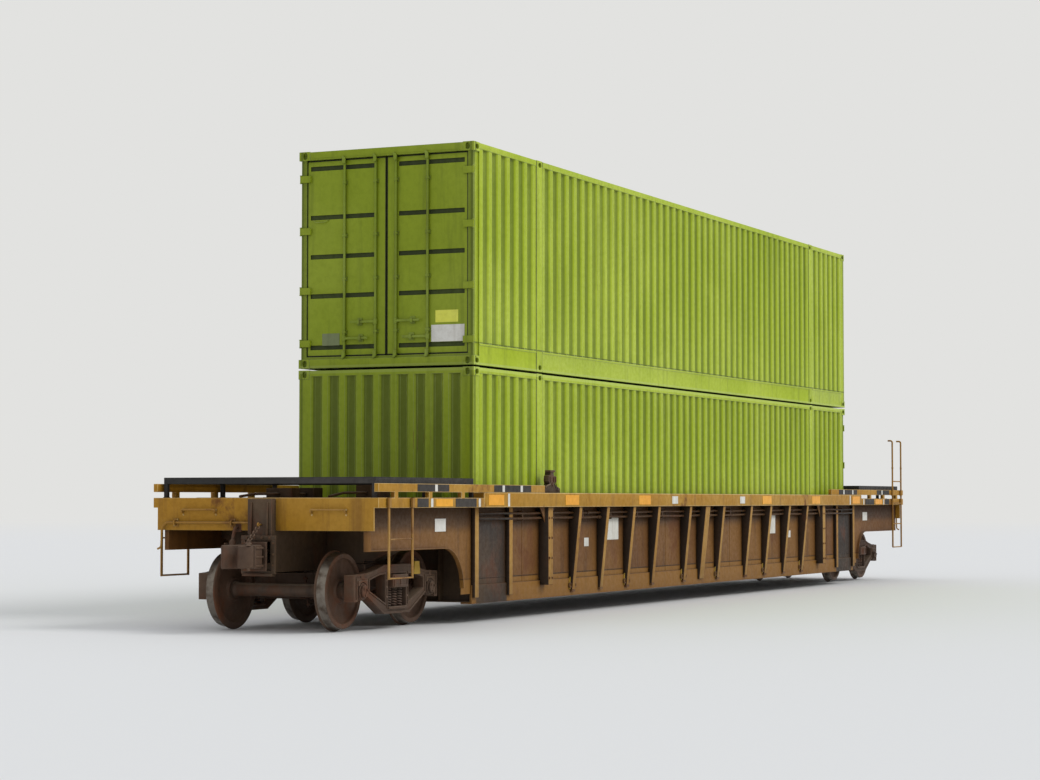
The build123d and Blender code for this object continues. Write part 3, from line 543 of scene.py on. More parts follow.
def makeStudTree():
    # a washer and a hexagon head on each point, set square to its surface
    tree, given = startTree("studs", Radius="Float", Height="Float", Sides="Int")
    flat, half = (math2(tree, "MULTIPLY", given["Height"], share) for share in (0.3, 0.5))
    wide = math2(tree, "MULTIPLY", given["Radius"], 1.35)
    sizes = ({"Vertices": 16, "Radius": wide, "Depth": flat},
             {"Vertices": given["Sides"], "Radius": given["Radius"], "Depth": given["Height"]})
    washer, head = (addNode(tree, "GeometryNodeMeshCylinder", size).outputs["Mesh"] for size in sizes)
    lift = addNode(tree, "ShaderNodeCombineXYZ", {2: half}).outputs[0]
    head = addNode(tree, "GeometryNodeTransform", {"Geometry": head, "Translation": lift}).outputs[0]
    both = tree.nodes.new("GeometryNodeJoinGeometry")
    for shape in (washer, head):
        tree.links.new(shape, both.inputs[0])
    way = addNode(tree, "GeometryNodeInputNamedAttribute", {"Name": "outward"},
                  data_type="FLOAT_VECTOR").outputs[0]
    turn = addNode(tree, "FunctionNodeAlignRotationToVector", {"Vector": way}, axis="Z").outputs[0]
    return endTree(tree, given, given["Geometry"], both.outputs[0], Rotation=turn)


def makeBarTree():
    # a row of equal bars, one pitch apart
    tree, given = startTree("barRow", Count="Int", First="Vector", Pitch="Vector", Size="Vector")
    row = {"Count": given["Count"], "Start Location": given["First"], "Offset": given["Pitch"]}
    line = addNode(tree, "GeometryNodeMeshLine", row, mode="OFFSET").outputs[0]
    return endTree(tree, given, line,
                   addNode(tree, "GeometryNodeMeshCube", {"Size": given["Size"]}).outputs["Mesh"])


def makeCoilTree():
    # a helical spring on each point
    tree, given = startTree("coils", Turns="Float", Radius="Float", Wire="Float", Height="Float")
    helix = addNode(tree, "GeometryNodeCurveSpiral",
                    {"Resolution": 18, "Rotations": given["Turns"], "Start Radius": given["Radius"],
                     "End Radius": given["Radius"], "Height": given["Height"]}).outputs[0]
    section = addNode(tree, "GeometryNodeCurvePrimitiveCircle",
                      {"Resolution": 8, "Radius": given["Wire"]}).outputs[0]
    coil = addNode(tree, "GeometryNodeCurveToMesh",
                   {"Curve": helix, "Profile Curve": section, "Fill Caps": True})
    return endTree(tree, given, given["Geometry"], coil.outputs[0])


studTree, barTree, coilTree = makeStudTree(), makeBarTree(), makeCoilTree()


# Solids of the frame with rounded edges, in worn paint that is also a painted highlight. Each takes the place
# of its node and keeps its form.
# Widths and segments of the rounding, by slot and for single nodes
edgeWidths = {
    "container_green": (0.003, 2), "chord_ochre": (0.010, 3), "sheet_brown": (0.003, 2),
    "post_ochre": (0.006, 2), "frame_dark": (0.004, 2), "casting_steel": (0.008, 3), "floor_wood": (0.003, 1),
}
fineNodes = {"truck_bolster_a": (0.014, 3), "truck_bolster_b": (0.014, 3), "container_guides": (0.008, 2),
             "end_deck_a": (0.005, 2), "end_deck_b": (0.005, 2)}
leaf = {"edge": (0.002, 2), "grooveX": (8.0, 8.0295), "grooveY": 1.18}
madeHere = ("springs", "wheels", "axle", "walkway", "side_ladder", "corner_steps", "brake_stand",
            "lower_door_gear", "upper_door_gear", "coupler")
castings = {
    "height": 0.118, "length": 0.178, "depth": 0.045, "stackX": 11.985 / 2, "holeInset": 0.1015,
    "topInset": 0.081,
    "endY": 1.2045, "sideHole": (0.102, 0.064), "endHole": (0.089, 0.064), "topHole": (0.1245, 0.0635),
}


def cutOval(draft, centre, axis, along, length, width, steps=10):
    # a slot with round ends, cut along the axis
    centre, axis, along = Vector(centre), Vector(axis), Vector(along)
    other = axis.cross(along)
    rim = []
    for end in (1, -1):
        for n in range(steps + 1):
            turn = math.pi * (n / steps - 0.5)
            rim.append(end * (((length - width) / 2 + width / 2 * math.cos(turn)) * along
                              + width / 2 * math.sin(turn) * other))
    depth = castings["depth"]
    draft.join([draft.ring([centre + axis * level + p for p in rim]) for level in (-depth, depth)])


def castingCutters(name):
    # the openings of the corner castings that a container node holds
    cutters = Draft()
    low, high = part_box(name)
    levels = (low.z + castings["height"] / 2, high.z - castings["height"] / 2)
    alongX, alongY, alongZ = (1, 0, 0), (0, 1, 0), (0, 0, 1)
    if "_side_" in name:
        y = high.y if high.y > 0 else low.y
        for x in (-castings["stackX"], castings["stackX"]):
            for z in levels:
                cutOval(cutters, (x, y, z), alongY, alongX, *castings["sideHole"])
        return cutters
    faceX = high.x if abs(high.x) > abs(low.x) else low.x
    way = math.copysign(1, faceX)
    for y in (low.y, high.y):
        for z in levels:
            cutOval(cutters, (faceX - way * castings["holeInset"], y, z), alongY, alongX,
                    *castings["sideHole"])
            cutOval(cutters, (faceX, math.copysign(castings["endY"], y), z), alongX, alongZ,
                    *castings["endHole"])
        hole = (faceX - way * castings["length"] / 2, math.copysign(high.y - castings["topInset"], y), high.z)
        cutOval(cutters, hole, alongZ, alongX, *castings["topHole"])
    return cutters


def mark(piece, look, chosen):
    # another look on the faces that are chosen
    piece.data.materials.append(look)
    for face in piece.data.polygons:
        if chosen(face):
            face.material_index = len(piece.data.materials) - 1


def dressNode(name):
    slotName = slotOf[name]
    isLeaf = name.startswith(("upper_door_l", "upper_door_r", "lower_doors"))
    bm = bmesh.new()
    bm.from_mesh(nodes[name].data)
    bmesh.ops.remove_doubles(bm, verts=bm.verts, dist=0.0002)
    bmesh.ops.dissolve_limit(bm, angle_limit=math.radians(1), verts=bm.verts, edges=bm.edges)
    bmesh.ops.triangulate(bm, faces=[face for face in bm.faces if len(face.verts) > 4])
    for face in bm.faces:
        face.material_index = 0
    mesh = bpy.data.meshes.new(name + "_skin")
    bm.to_mesh(mesh)
    bm.free()
    looks = finishes[slotName], edgeWearAndHighlight.get(slotName, finishes[slotName])
    if isLeaf:
        looks = doorPaint, doorPaint
    piece = enter(name + "_skin", mesh, looks)
    if name.startswith(("lower", "upper")) and ("_side_" in name or name.endswith(("_front", "_door_frame"))):
        cutter = enter("cutter", castingCutters(name).mesh("cutter"))
        cut = piece.modifiers.new("holes", "BOOLEAN")
        cut.operation, cut.solver, cut.object = "DIFFERENCE", "EXACT", cutter
        settle(piece)
        bpy.data.objects.remove(cutter)
    width, segments = leaf["edge"] if isLeaf else fineNodes.get(name, edgeWidths.get(slotName, (0.003, 2)))
    roundEdges(piece, width, segments)
    if name.startswith("side_posts"):
        # painted shade, with some dirt, on the post faces that look along the car
        mark(piece, postShadow, lambda face: abs(face.normal.x) > 0.9)
    if isLeaf:
        # painted shade on the faces inside the grooves of the door leaves
        near, far = leaf["grooveX"]
        mark(piece, grooveShade,
             lambda face: near < abs(face.center.x) < far and abs(face.center.y) < leaf["grooveY"])
    release(piece, bodyOf[name], replaced=name)


for name in sorted(nodes):
    if not name.startswith(madeHere):
        dressNode(name)
print("stage: edges rounded")


# Wheelsets: turned wheels with a curved plate, axles, bearings and end caps
# (radius below the flange's tip, place from the back face) round the section of a wheel
wheel = {
    "steps": 96, "width": 0.146, "tread": (0.02, 0.036), "treadStart": 0.03,
    "section": ((0.385, 0.010), (0.350, 0.010), (0.340, 0.022), (0.331, 0.036), (0.305, 0.047), (0.18, 0.052),
                (0.125, 0.046), (0.102, 0.032), (0.094, 0.010), (0.088, 0.002), (0.080, 0.0), (0.034, 0.0),
                (0.018, 0.002), (0.007, 0.007), (0.0015, 0.013), (0.0, 0.018), (0.0025, 0.024),
                (0.010, 0.029),
                (0.020, 0.034), (0.0262, 0.041), (0.028, 0.050), (0.0305, 0.128), (0.034, 0.141),
                (0.040, 0.146),
                (0.084, 0.146), (0.091, 0.143), (0.094, 0.136), (0.098, 0.112), (0.115, 0.096), (0.18, 0.080),
                (0.305, 0.082), (0.331, 0.090), (0.343, 0.104), (0.347, 0.113), (0.352, 0.116),
                (0.385, 0.116)),
}
# (radius, place along the axle): half of the shaft from its middle, then bearing and cap from where the
# bearing starts
axle = {
    "shaft": ((0.079, 0.0), (0.079, 0.35), (0.084, 0.60), (0.088, 0.64), (0.100, 0.6565), (0.100, 0.84),
              (0.090, 0.855), (0.090, 0.905), (0.097, 0.912)),
    "bearingStart": 0.915,
    "bearing": ((0.088, 0.0), (0.098, 0.0), (0.101, 0.010), (0.101, 0.022), (0.108, 0.026), (0.108, 0.150),
                (0.101, 0.154), (0.101, 0.166), (0.097, 0.176), (0.080, 0.176)),
    "cap": ((0.074, 0.175), (0.076, 0.180), (0.076, 0.198), (0.070, 0.206), (0.034, 0.207), (0.030, 0.201),
            (0.012, 0.2)),
    "screws": (3, 0.05, 0.206), "steps": 40,
}


def makeWheels(name):
    low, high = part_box(name)
    middle, tip, back = (low + high) / 2, (high.z - low.z) / 2, high.y - wheel["width"]
    draft = Draft(Matrix.Translation((middle.x, 0, middle.z)))
    for way in (1, -1):
        profile = [(tip - drop, way * (back + along)) for drop, along in wheel["section"]]
        draft.turned(profile, (0, 0, 0), steps=wheel["steps"], closed=True)
    for face in draft.bm.faces:
        centre = face.calc_center_median()
        drop = tip - math.hypot(centre.x - middle.x, centre.z - middle.z)
        if wheel["tread"][0] < drop < wheel["tread"][1] and abs(centre.y) > back + wheel["treadStart"]:
            face.material_index = 1
    draft.keep(name + "_turned", "wheel_steel", bodyOf[name], (finishes["wheel_steel"], treadSteel),
               smooth=30, replaced=name)


def makeAxle(name):
    low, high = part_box(name)
    middle = (low + high) / 2
    draft = Draft(Matrix.Translation((middle.x, 0, middle.z)))
    half = axle["shaft"]
    draft.turned([(r, -y) for r, y in half[:0:-1]] + list(half), (0, 0, 0), steps=axle["steps"])
    count, circle, out = axle["screws"]
    for way in (1, -1):
        for section in (axle["bearing"], axle["cap"]):
            profile = [(r, way * (axle["bearingStart"] + y)) for r, y in section]
            draft.turned(profile, (0, 0, 0), steps=axle["steps"])
        for n in range(count):
            turn = 2 * math.pi * n / count + 0.4
            y = way * (axle["bearingStart"] + out)
            draft.stud((circle * math.cos(turn), y, circle * math.sin(turn)), (0, way, 0))
    draft.keep(name + "_turned", "axle_steel", bodyOf[name], smooth=32, replaced=name)
    draft.keepStuds(name + "_cap_screws", "axle_steel", 0.015, 0.011, bodyOf[name])


for name in sorted(nodes):
    if name.startswith("wheels"):
        makeWheels(name)
    if name.startswith("axle"):
        makeAxle(name)

# Springs: an outer and an inner coil at each place, on and under thin seats. Each coil: turns, radius, wire
springs = {"pitch": 0.142, "inner": 0.941, "seat": (0.058, 0.006), "rise": 0.0115,
           "coils": {"outer": (6.5, 0.0485, 0.0115), "inner": (9.5, 0.027, 0.007)}}
for end in "ab":
    name = "springs_" + end
    low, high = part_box(name)
    seats, spots = Draft(), []
    radius, thick = springs["seat"]
    for way in (1, -1):
        y = way * (high.y + springs["inner"]) / 2
        for x in (-springs["pitch"], 0, springs["pitch"]):
            x += (low.x + high.x) / 2
            spots.append((x, y, low.z + springs["rise"]))
            for z in (low.z, high.z - thick):
                seats.drum(radius, 0, thick, (x, y, z), (0, 0, 1), 24)
    for kind, (turns, radius, wire) in springs["coils"].items():
        start = bpy.data.meshes.new(name)
        start.from_pydata(spots, [], [])
        values = {"Turns": turns, "Radius": radius, "Wire": wire,
                  "Height": high.z - low.z - 2 * springs["rise"],
                  "Material": finishes["spring_steel"]}
        growPiece(f"{name}_{kind}_coils", coilTree, start, values, bodyOf[name], 60, name)
    seats.keep(name + "_seats", "spring_steel", bodyOf[name])
print("stage: wheelsets and springs made")


# Door gear: rods with cams, brackets and handles. It is drawn for doors at -X and turned for the lower
# container.
# Each rod: share of the leaf's width, the handle's share of its height, the way in which the handle lies
doorGear = {
    "bottom": 0.158, "height": 2.612, "low": 0.006, "width": 1.1855, "face": -8.032, "rodX": -8.057,
    "rod": 0.017, "rods": ((0.122, 0.169, 1), (0.514, 0.087, -1)), "brackets": (0.12, 0.39, 0.61, 0.88),
    "bracket": (0.034, 0.024),
    "hook": ((-0.022, -0.058), (0.022, -0.058), (0.026, 0.012), (0.036, 0.030), (0.020, 0.044),
             (-0.008, 0.030), (-0.024, 0.006)),
    "plate": 0.008, "boltAt": (0.030, 0.017), "hub": (0.026, 0.035), "handleBar": (0.006, 0.030),
    "handle": ((0.012, 0.0), (0.022, 0.05), (0.022, 0.30), (0.032, 0.36)), "catchAt": 0.24,
    "catch": ((0.010, 0.0, 0.035, -0.045, 0.055), (0.051, 0.0, 0.020, 0.016, 0.024),
              (0.061, 0.053, 0.020, -0.030, 0.024)),
    "gasket": 0.012, "proud": 0.004, "saddle": ((0.012, 0.025), (0.020, 0.014)), "hookX": (0.034, 0.016),
}


def containerPlace(container):
    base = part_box(container + "_side_left")[0].z
    turn = math.pi if container == "lower" else 0
    return Matrix.Translation((0, 0, base)) @ Matrix.Rotation(turn, 4, "Z")


def drawGear(way, gear, rubbers):
    fit = doorGear
    face, rodX, bottom, tall = fit["face"], fit["rodX"], fit["bottom"], fit["height"]
    top = bottom + tall
    for share, handleShare, lie in fit["rods"]:
        y = way * (fit["low"] + share * fit["width"])
        gear.rod((rodX, y, bottom - 0.01), (rodX, y, top + 0.004), fit["rod"], 20)
        for level in fit["brackets"]:
            z = bottom + level * tall
            halfY, halfZ = fit["bracket"]
            gear.block((face - fit["plate"], face), about(y, halfY), about(z, halfZ))
            half = [(face - 0.004, 0.027), *((rodX - out, wide) for out, wide in fit["saddle"])]
            saddle = [(x, y - b) for x, b in half] + [(x, y + b) for x, b in half[::-1]]
            gear.prism(saddle, *about(z, 0.014), 2)
            boltY, boltZ = fit["boltAt"]
            for side in (-1, 1):
                for lift in (-1, 1):
                    gear.stud((face - fit["plate"], y + side * boltY, z + lift * boltZ), (-1, 0, 0))
        for z, lift in ((top, 1), (bottom, -1)):
            gear.prism([(y + a, z + lift * b) for a, b in fit["hook"]],
                       *(rodX - out for out in fit["hookX"]), 0)
            gear.block((rodX - 0.020, rodX), about(y, 0.012), (z - lift * 0.05, z - lift * 0.03))
        z = bottom + handleShare * tall
        reach = way * lie
        radius, half = fit["hub"]
        gear.rod((rodX, y, z - half), (rodX, y, z + half), radius, 20)
        handle = [(rodX - out, y + reach * along, z) for out, along in fit["handle"]]
        gear.flatBar(roundPath(handle, 0.03, 4), *fit["handleBar"])
        for out, into, half, below, above in fit["catch"]:
            gear.block((face - out, face - into), about(y + reach * fit["catchAt"], half),
                       (z + below, z + above))
    inner, outer = sorted((way * fit["low"], way * (fit["low"] + fit["width"])))
    strip = fit["gasket"]
    for ys, zs in (((inner, inner + strip), (bottom, top)), ((outer - strip, outer), (bottom, top)),
                   ((inner, outer), (bottom, bottom + strip)), ((inner, outer), (top - strip, top))):
        rubbers.block((face - fit["proud"], face + 0.002), ys, zs)


leaves = ((1, "left"), (-1, "right"))
groups = [("lower", leaves, "lower_door_gear", "car")]
groups += [("upper", [row], "upper_door_gear_" + row[1], "door_" + row[1]) for row in leaves]
for container, members, node, body in groups:
    gear, rubbers = Draft(containerPlace(container)), Draft(containerPlace(container))
    for way, side in members:
        drawGear(way, gear, rubbers)
    gear.keep(node + "_worked", "rod_steel", body, edge=0.003, segments=2, replaced=node)
    gear.keepStuds(node + "_bolts", "rod_steel", 0.008, 0.007, body)
    rubbers.keep(node + "_gasket", "container_green", body, (rubber,), edge=0.0015)
print("stage: door gear made")


# Platforms over the trucks: edge angles, bearing bars, cross bars, legs and edge channels
platform = {"lip": 0.05, "plate": 0.005, "deep": 0.036, "bar": (0.005, 0.030), "barPitch": 0.040,
            "crossPitch": 0.10, "cross": 0.006, "leg": 0.05, "foot": (0.02, 0.008), "skirt": (0.042, 0.006),
            "in": 0.001}


def makePlatform(name):
    low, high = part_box(name)
    lip, thin, leg = platform["lip"], platform["plate"], platform["leg"]
    base, run, span = high.z - platform["deep"], high.x - low.x - 2 * lip, high.y - low.y - 2 * lip
    deck, skirt = Draft(), Draft()
    for width, zs in ((lip, (high.z - thin, high.z)), (thin, (base, high.z - thin))):
        for xs in ((low.x, low.x + width), (high.x - width, high.x)):
            deck.block(xs, (low.y, high.y), zs)
        for ys in ((low.y, low.y + width), (high.y - width, high.y)):
            deck.block((low.x + width, high.x - width), ys, zs)
    for share in (0.25, 0.5, 0.75):
        deck.block(about(low.x + share * (high.x - low.x), 0.02), (low.y + thin, high.y - thin),
                   (base, base + 0.004))
    spread, thick = platform["foot"]
    for x in (low.x, (low.x + high.x - leg) / 2, high.x - leg):
        for y in (low.y, high.y - leg):
            deck.block((x, x + leg), (y, y + leg), (low.z, base))
            deck.block((x - spread, x + leg + spread), (y, y + leg), (low.z, low.z + thick))
    deck.keep(name + "_frame", "walkway_black", edge=0.002, replaced=name)
    inset, (deep, thick) = platform["in"], platform["skirt"]
    zs = (base - deep, base + 0.010)
    for ys in ((low.y + inset, low.y + thick), (high.y - thick, high.y - inset)):
        skirt.block((low.x + inset, high.x - inset), ys, zs)
    for xs in ((low.x + inset, low.x + thick), (high.x - thick, high.x - inset)):
        skirt.block(xs, (low.y + thick, high.y - thick), zs)
    skirt.keep(name + "_edge_channels", "walkway_black", edge=0.002)
    pitch, crossPitch, cross = platform["barPitch"], platform["crossPitch"], platform["cross"]
    middle, look = (low + high) / 2, finishes["walkway_black"]
    along = (middle.x, low.y + lip + pitch / 2, high.z - 0.015)
    across = (low.x + lip + crossPitch / 2, middle.y, high.z - 0.004)
    rows = (("_bearing_bars", int(span / pitch), along, (0, pitch, 0), (run, *platform["bar"])),
            ("_cross_bars", int(run / crossPitch), across, (crossPitch, 0, 0), (cross, span, cross)))
    for ending, count, first, step, size in rows:
        values = {"Count": count, "First": first, "Pitch": step, "Size": size, "Material": look}
        growPiece(name + ending, barTree, bpy.data.meshes.new(name), values, "car")


for end in "ab":
    makePlatform("walkway_" + end)
print("stage: platforms made")


# Ladder, grab posts, corner steps and the hand brake
ladder = {"stile": 0.04, "rung": 0.011, "rungs": (0.649, 1.107, 1.509, 1.939), "sleeves": (1.55, 1.66, 2.2),
          "plates": ((1.49, 1.60), (1.66, 1.75))}
steps = {"inset": 0.02, "rungs": ((0.0, 0.012), (0.458, 0.010))}
brake = {"rim": 0.28, "wire": 0.013, "spokes": 5, "box": (2.128, 2.668), "depth": 0.12, "post": 0.04,
         "bolts": ((0.20, 0.10), (0.20, -0.10), (0.11, 0.22), (0.12, -0.22)), "ribs": (-0.16, 0.0, 0.16),
         "plate": ((0.14, -1), (0.24, -0.5), (0.24, 0.45), (0.12, 1)),
         "lid": ((0.20, 0), (0.19, 0.012), (0.10, 0.016)),
         "hub": ((0.040, -0.03), (0.044, -0.01), (0.034, 0.012)), "foot": (0.05, 0, 0.012), "rail": 0.016,
         "rib": (0.008, -0.022, -0.009, 0.7), "stem": (0.045, -0.012, 0.045, 0.9)}
ladderLow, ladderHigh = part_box("side_ladder")
postLooks = finishes["post_ochre"], edgeWearAndHighlight["post_ochre"]


def makeLadder():
    low, high = ladderLow, ladderHigh
    half = ladder["stile"] / 2
    draft = Draft()
    stiles, y = (low.x + half, high.x - half), low.y + half
    for x in stiles:
        bent = [(x, y, low.z + 0.01), (x, y, high.z - half), (x, high.y - 0.012, high.z - half)]
        draft.tube(bent, half - 0.004, 16, 0.09, 6)
        for z in ladder["sleeves"]:
            draft.drum(half - 0.0005, -0.018, 0.018, (x, y, z), (0, 0, 1))
        for zs in ladder["plates"]:
            draft.block(about(x, 0.035), (y, y + half + 0.004), zs)
    for z in ladder["rungs"]:
        draft.rod((stiles[0], y, z), (stiles[1], y, z), ladder["rung"], 14)
    draft.keep("side_ladder_bent", "post_ochre", looks=postLooks, replaced="side_ladder")


def makeSteps():
    low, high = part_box("corner_steps")
    inset = steps["inset"]
    draft = Draft()
    for way, side in ((1, 1), (-1, 1), (-1, -1)):
        y = side * (high.y - inset)
        ends = (way * (ladderLow.x + inset), way * (ladderHigh.x - inset))
        for rise, radius in steps["rungs"]:
            draft.tube([(x, y, low.z + rise + 0.012) for x in ends], radius)
        for x in ends:
            draft.block(about(x, 0.02), about(y, 0.008), (low.z, high.z))
            draft.block(about(x, 0.028), (y - 0.02, y + 0.010), (high.z - 0.12, high.z))
    draft.keep("corner_steps_bent", "post_ochre", edge=0.003, segments=2, replaced="corner_steps")


def makeBrake():
    low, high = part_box("brake_stand")
    half, (bottom, top) = brake["post"] / 2, brake["box"]
    posts, box, wheelDraft = Draft(), Draft(), Draft()
    xs, y = (ladderLow.x + half, ladderHigh.x - half), low.y + half
    for x in xs:
        posts.rod((x, y, low.z), (x, y, high.z), half)
        posts.drum(*brake["foot"], (x, y, low.z), (0, 0, 1))
    posts.rod((xs[0], y, high.z - half), (xs[1], y, high.z - half), brake["rail"])
    posts.keep("brake_stand_posts", "post_ochre", replaced="brake_stand")
    x, z, tall = sum(xs) / 2, (top + bottom) / 2, (top - bottom) / 2
    face = low.y + brake["depth"] + brake["post"]
    right = [(wide, share * tall) for wide, share in brake["plate"]]
    box.prism(mirrored(right, x, z), y - 0.01, face)
    box.turned(brake["lid"], (x, face, z), steps=32)
    half, near, far, share = brake["rib"]
    for dx in brake["ribs"]:
        box.block(about(x + dx, half), (y + near, y + far), about(z, tall * share))
    half, near, far, share = brake["stem"]
    box.block(about(x, half), (y + near, y + far), (low.z, z - tall * share))
    for dx, dz in brake["bolts"]:
        for hand in (-1, 1):
            box.stud((x + hand * dx, face, z + dz), (0, 1, 0))
            box.stud((x + hand * dx, y - 0.010, z + dz), (0, -1, 0))
    box.keep("brake_housing", "frame_dark", edge=0.006, segments=2)
    box.keepStuds("brake_housing_bolts", "frame_dark", 0.012, 0.010)
    wire, hub = brake["wire"], Vector((x, high.y - brake["wire"] - 0.004, z))
    wheelDraft.hoop(hub, (0, 1, 0), brake["rim"] - wire - 0.002, wire, 64, 10)
    for n in range(brake["spokes"]):
        turn = 2 * math.pi * n / brake["spokes"] + 0.3
        out = Vector((math.cos(turn), 0, math.sin(turn)))
        root, tip = hub + out * 0.03 - Vector((0, 0.012, 0)), hub + out * (brake["rim"] - wire)
        wheelDraft.rod(root, tip, 0.011, 10, 0.009)
    wheelDraft.turned(brake["hub"], hub, steps=24)
    wheelDraft.keep("brake_wheel", "frame_dark")


makeLadder()
makeSteps()
makeBrake()
print("stage: ladder, steps and brake made")


# Paint patches, blank plates and stripes: thin plates that lie on their surface on both sides of the car.
# Each row: look, distance from the middle to its near end, length, lowest height, height
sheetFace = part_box("side_sheet_left")[0].y + 0.012
patches = {
    "proud": 0.002, "chordFace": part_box("top_chord_left")[1].y, "sheetFace": sheetFace,
    "chord": (("yellow", 2.55, 0.46, 1.505, 0.135), ("white", 1.42, 0.24, 1.515, 0.115),
              ("yellow", 5.25, 0.46, 1.505, 0.135), ("yellow", 7.70, 0.46, 1.505, 0.135),
              ("white", 7.52, 0.06, 1.488, 0.168), ("white", 8.40, 0.06, 1.486, 0.104),
              ("black", 8.52, 0.60, 1.484, 0.108), ("yellow", 9.20, 0.46, 1.494, 0.09),
              ("white", 9.74, 0.06, 1.486, 0.104), ("black", 9.86, 0.30, 1.484, 0.108),
              ("black", 6.85, 1.15, 1.674, 0.088), ("white", 7.12, 0.07, 1.676, 0.084),
              ("white", 7.68, 0.07, 1.676, 0.084), ("black", 9.30, 0.86, 1.674, 0.088),
              ("white", 9.62, 0.07, 1.676, 0.084)),
    "sheet": (("white", 3.34, 0.44, 1.00, 0.33), ("white", 4.45, 0.16, 0.92, 0.12),
              ("white", 9.0, 0.30, 1.18, 0.16)),
}


def makePatches():
    looks = {"yellow": patchYellow, "white": plateWhite, "black": patchBlack}
    drafts = {key: Draft() for key in looks}
    for kind in ("chord", "sheet"):
        face = patches[kind + "Face"]
        for key, start, length, low, height in patches[kind]:
            # what lies on a black ground stands a little prouder
            proud = patches["proud"] * (1 if key == "black" else 1.8)
            for end in (1, -1):
                for side in (1, -1):
                    drafts[key].block((end * start, end * (start + length)),
                                      (side * (face - 0.001), side * (face + proud)), (low, low + height))
    for key, draft in drafts.items():
        draft.keep("patches_" + key, "chord_ochre", looks=(looks[key],), edge=0.0008)


# Air pipes under the chords, with clamps and coupling sleeves
pipes = {"radius": 0.017, "heights": (1.398, 1.330), "y": 1.408, "inner": 1.352, "reach": 8.15,
         "clampPitch": 1.02, "sleeve": 0.026, "waves": 24, "wave": 0.004}


def makePipes():
    draft = Draft()
    reach, low, high = pipes["reach"], min(pipes["heights"]) - 0.03, max(pipes["heights"]) + 0.03
    for side in (1, -1):
        y = side * pipes["y"]
        for n, z in enumerate(pipes["heights"]):
            path = [(-reach + 2 * reach * k / pipes["waves"], y, z + pipes["wave"] * math.sin(k * 2.1 + n))
                    for k in range(pipes["waves"] + 1)]
            ends = [(x, side * pipes["inner"], z) for x in (-reach, reach)]
            draft.tube(ends[:1] + path + ends[1:], pipes["radius"], 12, 0.05, 4)
            for x in (-4.6 + n * 0.4, 0.35, 4.55 - n * 0.3):
                draft.drum(pipes["sleeve"], -0.045, 0.045, (x, y, z), (1, 0, 0), 16)
        for k in range(-7, 8):
            x, face = k * pipes["clampPitch"] + 0.3, side * (pipes["y"] + 0.012)
            draft.block(about(x, 0.02), (side * (pipes["inner"] - 0.002), face), (low, high))
            for z in (low + 0.012, high - 0.012):
                draft.stud((x, face, z), (0, side, 0))
    draft.keep("air_pipes", "sheet_brown", smooth=50)
    # the clamp bolts take the painted shade colour of the post sides
    draft.keepStuds("pipe_clamp_bolts", "sheet_brown", 0.009, 0.008, look=postShadow)


# Feet of the posts: plates with a tie-down eye, toe plates, gussets, bolts and weld beads along the sheet
feet = {"places": (0.76, 2.1, 3.1, 4.1, 5.1), "reach": 0.10, "shoulder": 0.10, "tall": 0.17, "z": 0.335,
        "eye": 0.032, "wire": 0.010, "bead": 0.006, "beadEnd": 8.29,
        "beadHeights": ((0.572, 0.0), (1.474, 0.004)),
        "plateY": (0.018, 0.030), "toeY": (0.02, 0.055), "toeZ": (0.300, 0.330), "boltY": 1.500,
        "boltHeights": (0.52, 0.79, 1.06, 1.33), "seams": (1.45, 6.72), "stack": 6.1, "gusset": 0.16,
        "gussetTop": 1.478, "gussetY": (1.440, 1.452)}


def makeFeet():
    yellow, steel, beads = Draft(), Draft(), Draft()
    foot, reach, rise = feet["z"], feet["reach"], feet["tall"]
    right = [(reach, 0), (reach, feet["shoulder"]), (reach * 0.7, rise)]
    for side in (1, -1):
        for way in (1, -1):
            for n, place in enumerate(feet["places"]):
                x = way * place
                if n % 2 == 0:
                    yellow.prism(mirrored(right, x, foot), *(side * (sheetFace + y) for y in feet["plateY"]))
                    for hand in (-1, 1):
                        steel.hoop((x + hand * 0.078, side * (sheetFace + 0.036), foot + 0.055), (0, 1, 0),
                                   feet["eye"], feet["wire"])
                steel.block(about(x, 0.056), [side * (sheetFace + y) for y in feet["toeY"]], feet["toeZ"])
            # the plates that spread the load of the stacking posts into the chord
            x, top, wide = way * feet["stack"], feet["gussetTop"], feet["gusset"]
            for hand in (-1, 1):
                base = x + hand * 0.075
                steel.prism([(base, top), (base + hand * wide, top), (base, top - 1.3 * wide)],
                            *(side * y for y in feet["gussetY"]))
                for z in feet["boltHeights"]:
                    steel.stud((x + hand * 0.045, side * feet["boltY"], z), (0, side, 0))
            for seam in feet["seams"]:
                beads.tube([(way * seam, side * sheetFace, z) for z in (0.50, 1.47)], feet["bead"] * 0.8, 8)
        for z, out in feet["beadHeights"]:
            ends = (-feet["beadEnd"], feet["beadEnd"])
            beads.tube([(x, side * (sheetFace + out), z) for x in ends], feet["bead"], 8)
    yellow.keep("post_foot_plates", "post_ochre", looks=(footYellow,), edge=0.002)
    steel.keep("post_toes_and_eyes", "sheet_brown", looks=(edgeWearAndHighlight["sheet_brown"],), smooth=40)
    beads.keep("weld_beads", "sheet_brown", smooth=60)
    steel.keepStuds("stacking_post_bolts", "post_ochre", 0.014, 0.012)


makePatches()
makePipes()
makeFeet()
print("stage: patches, pipes and post feet made")


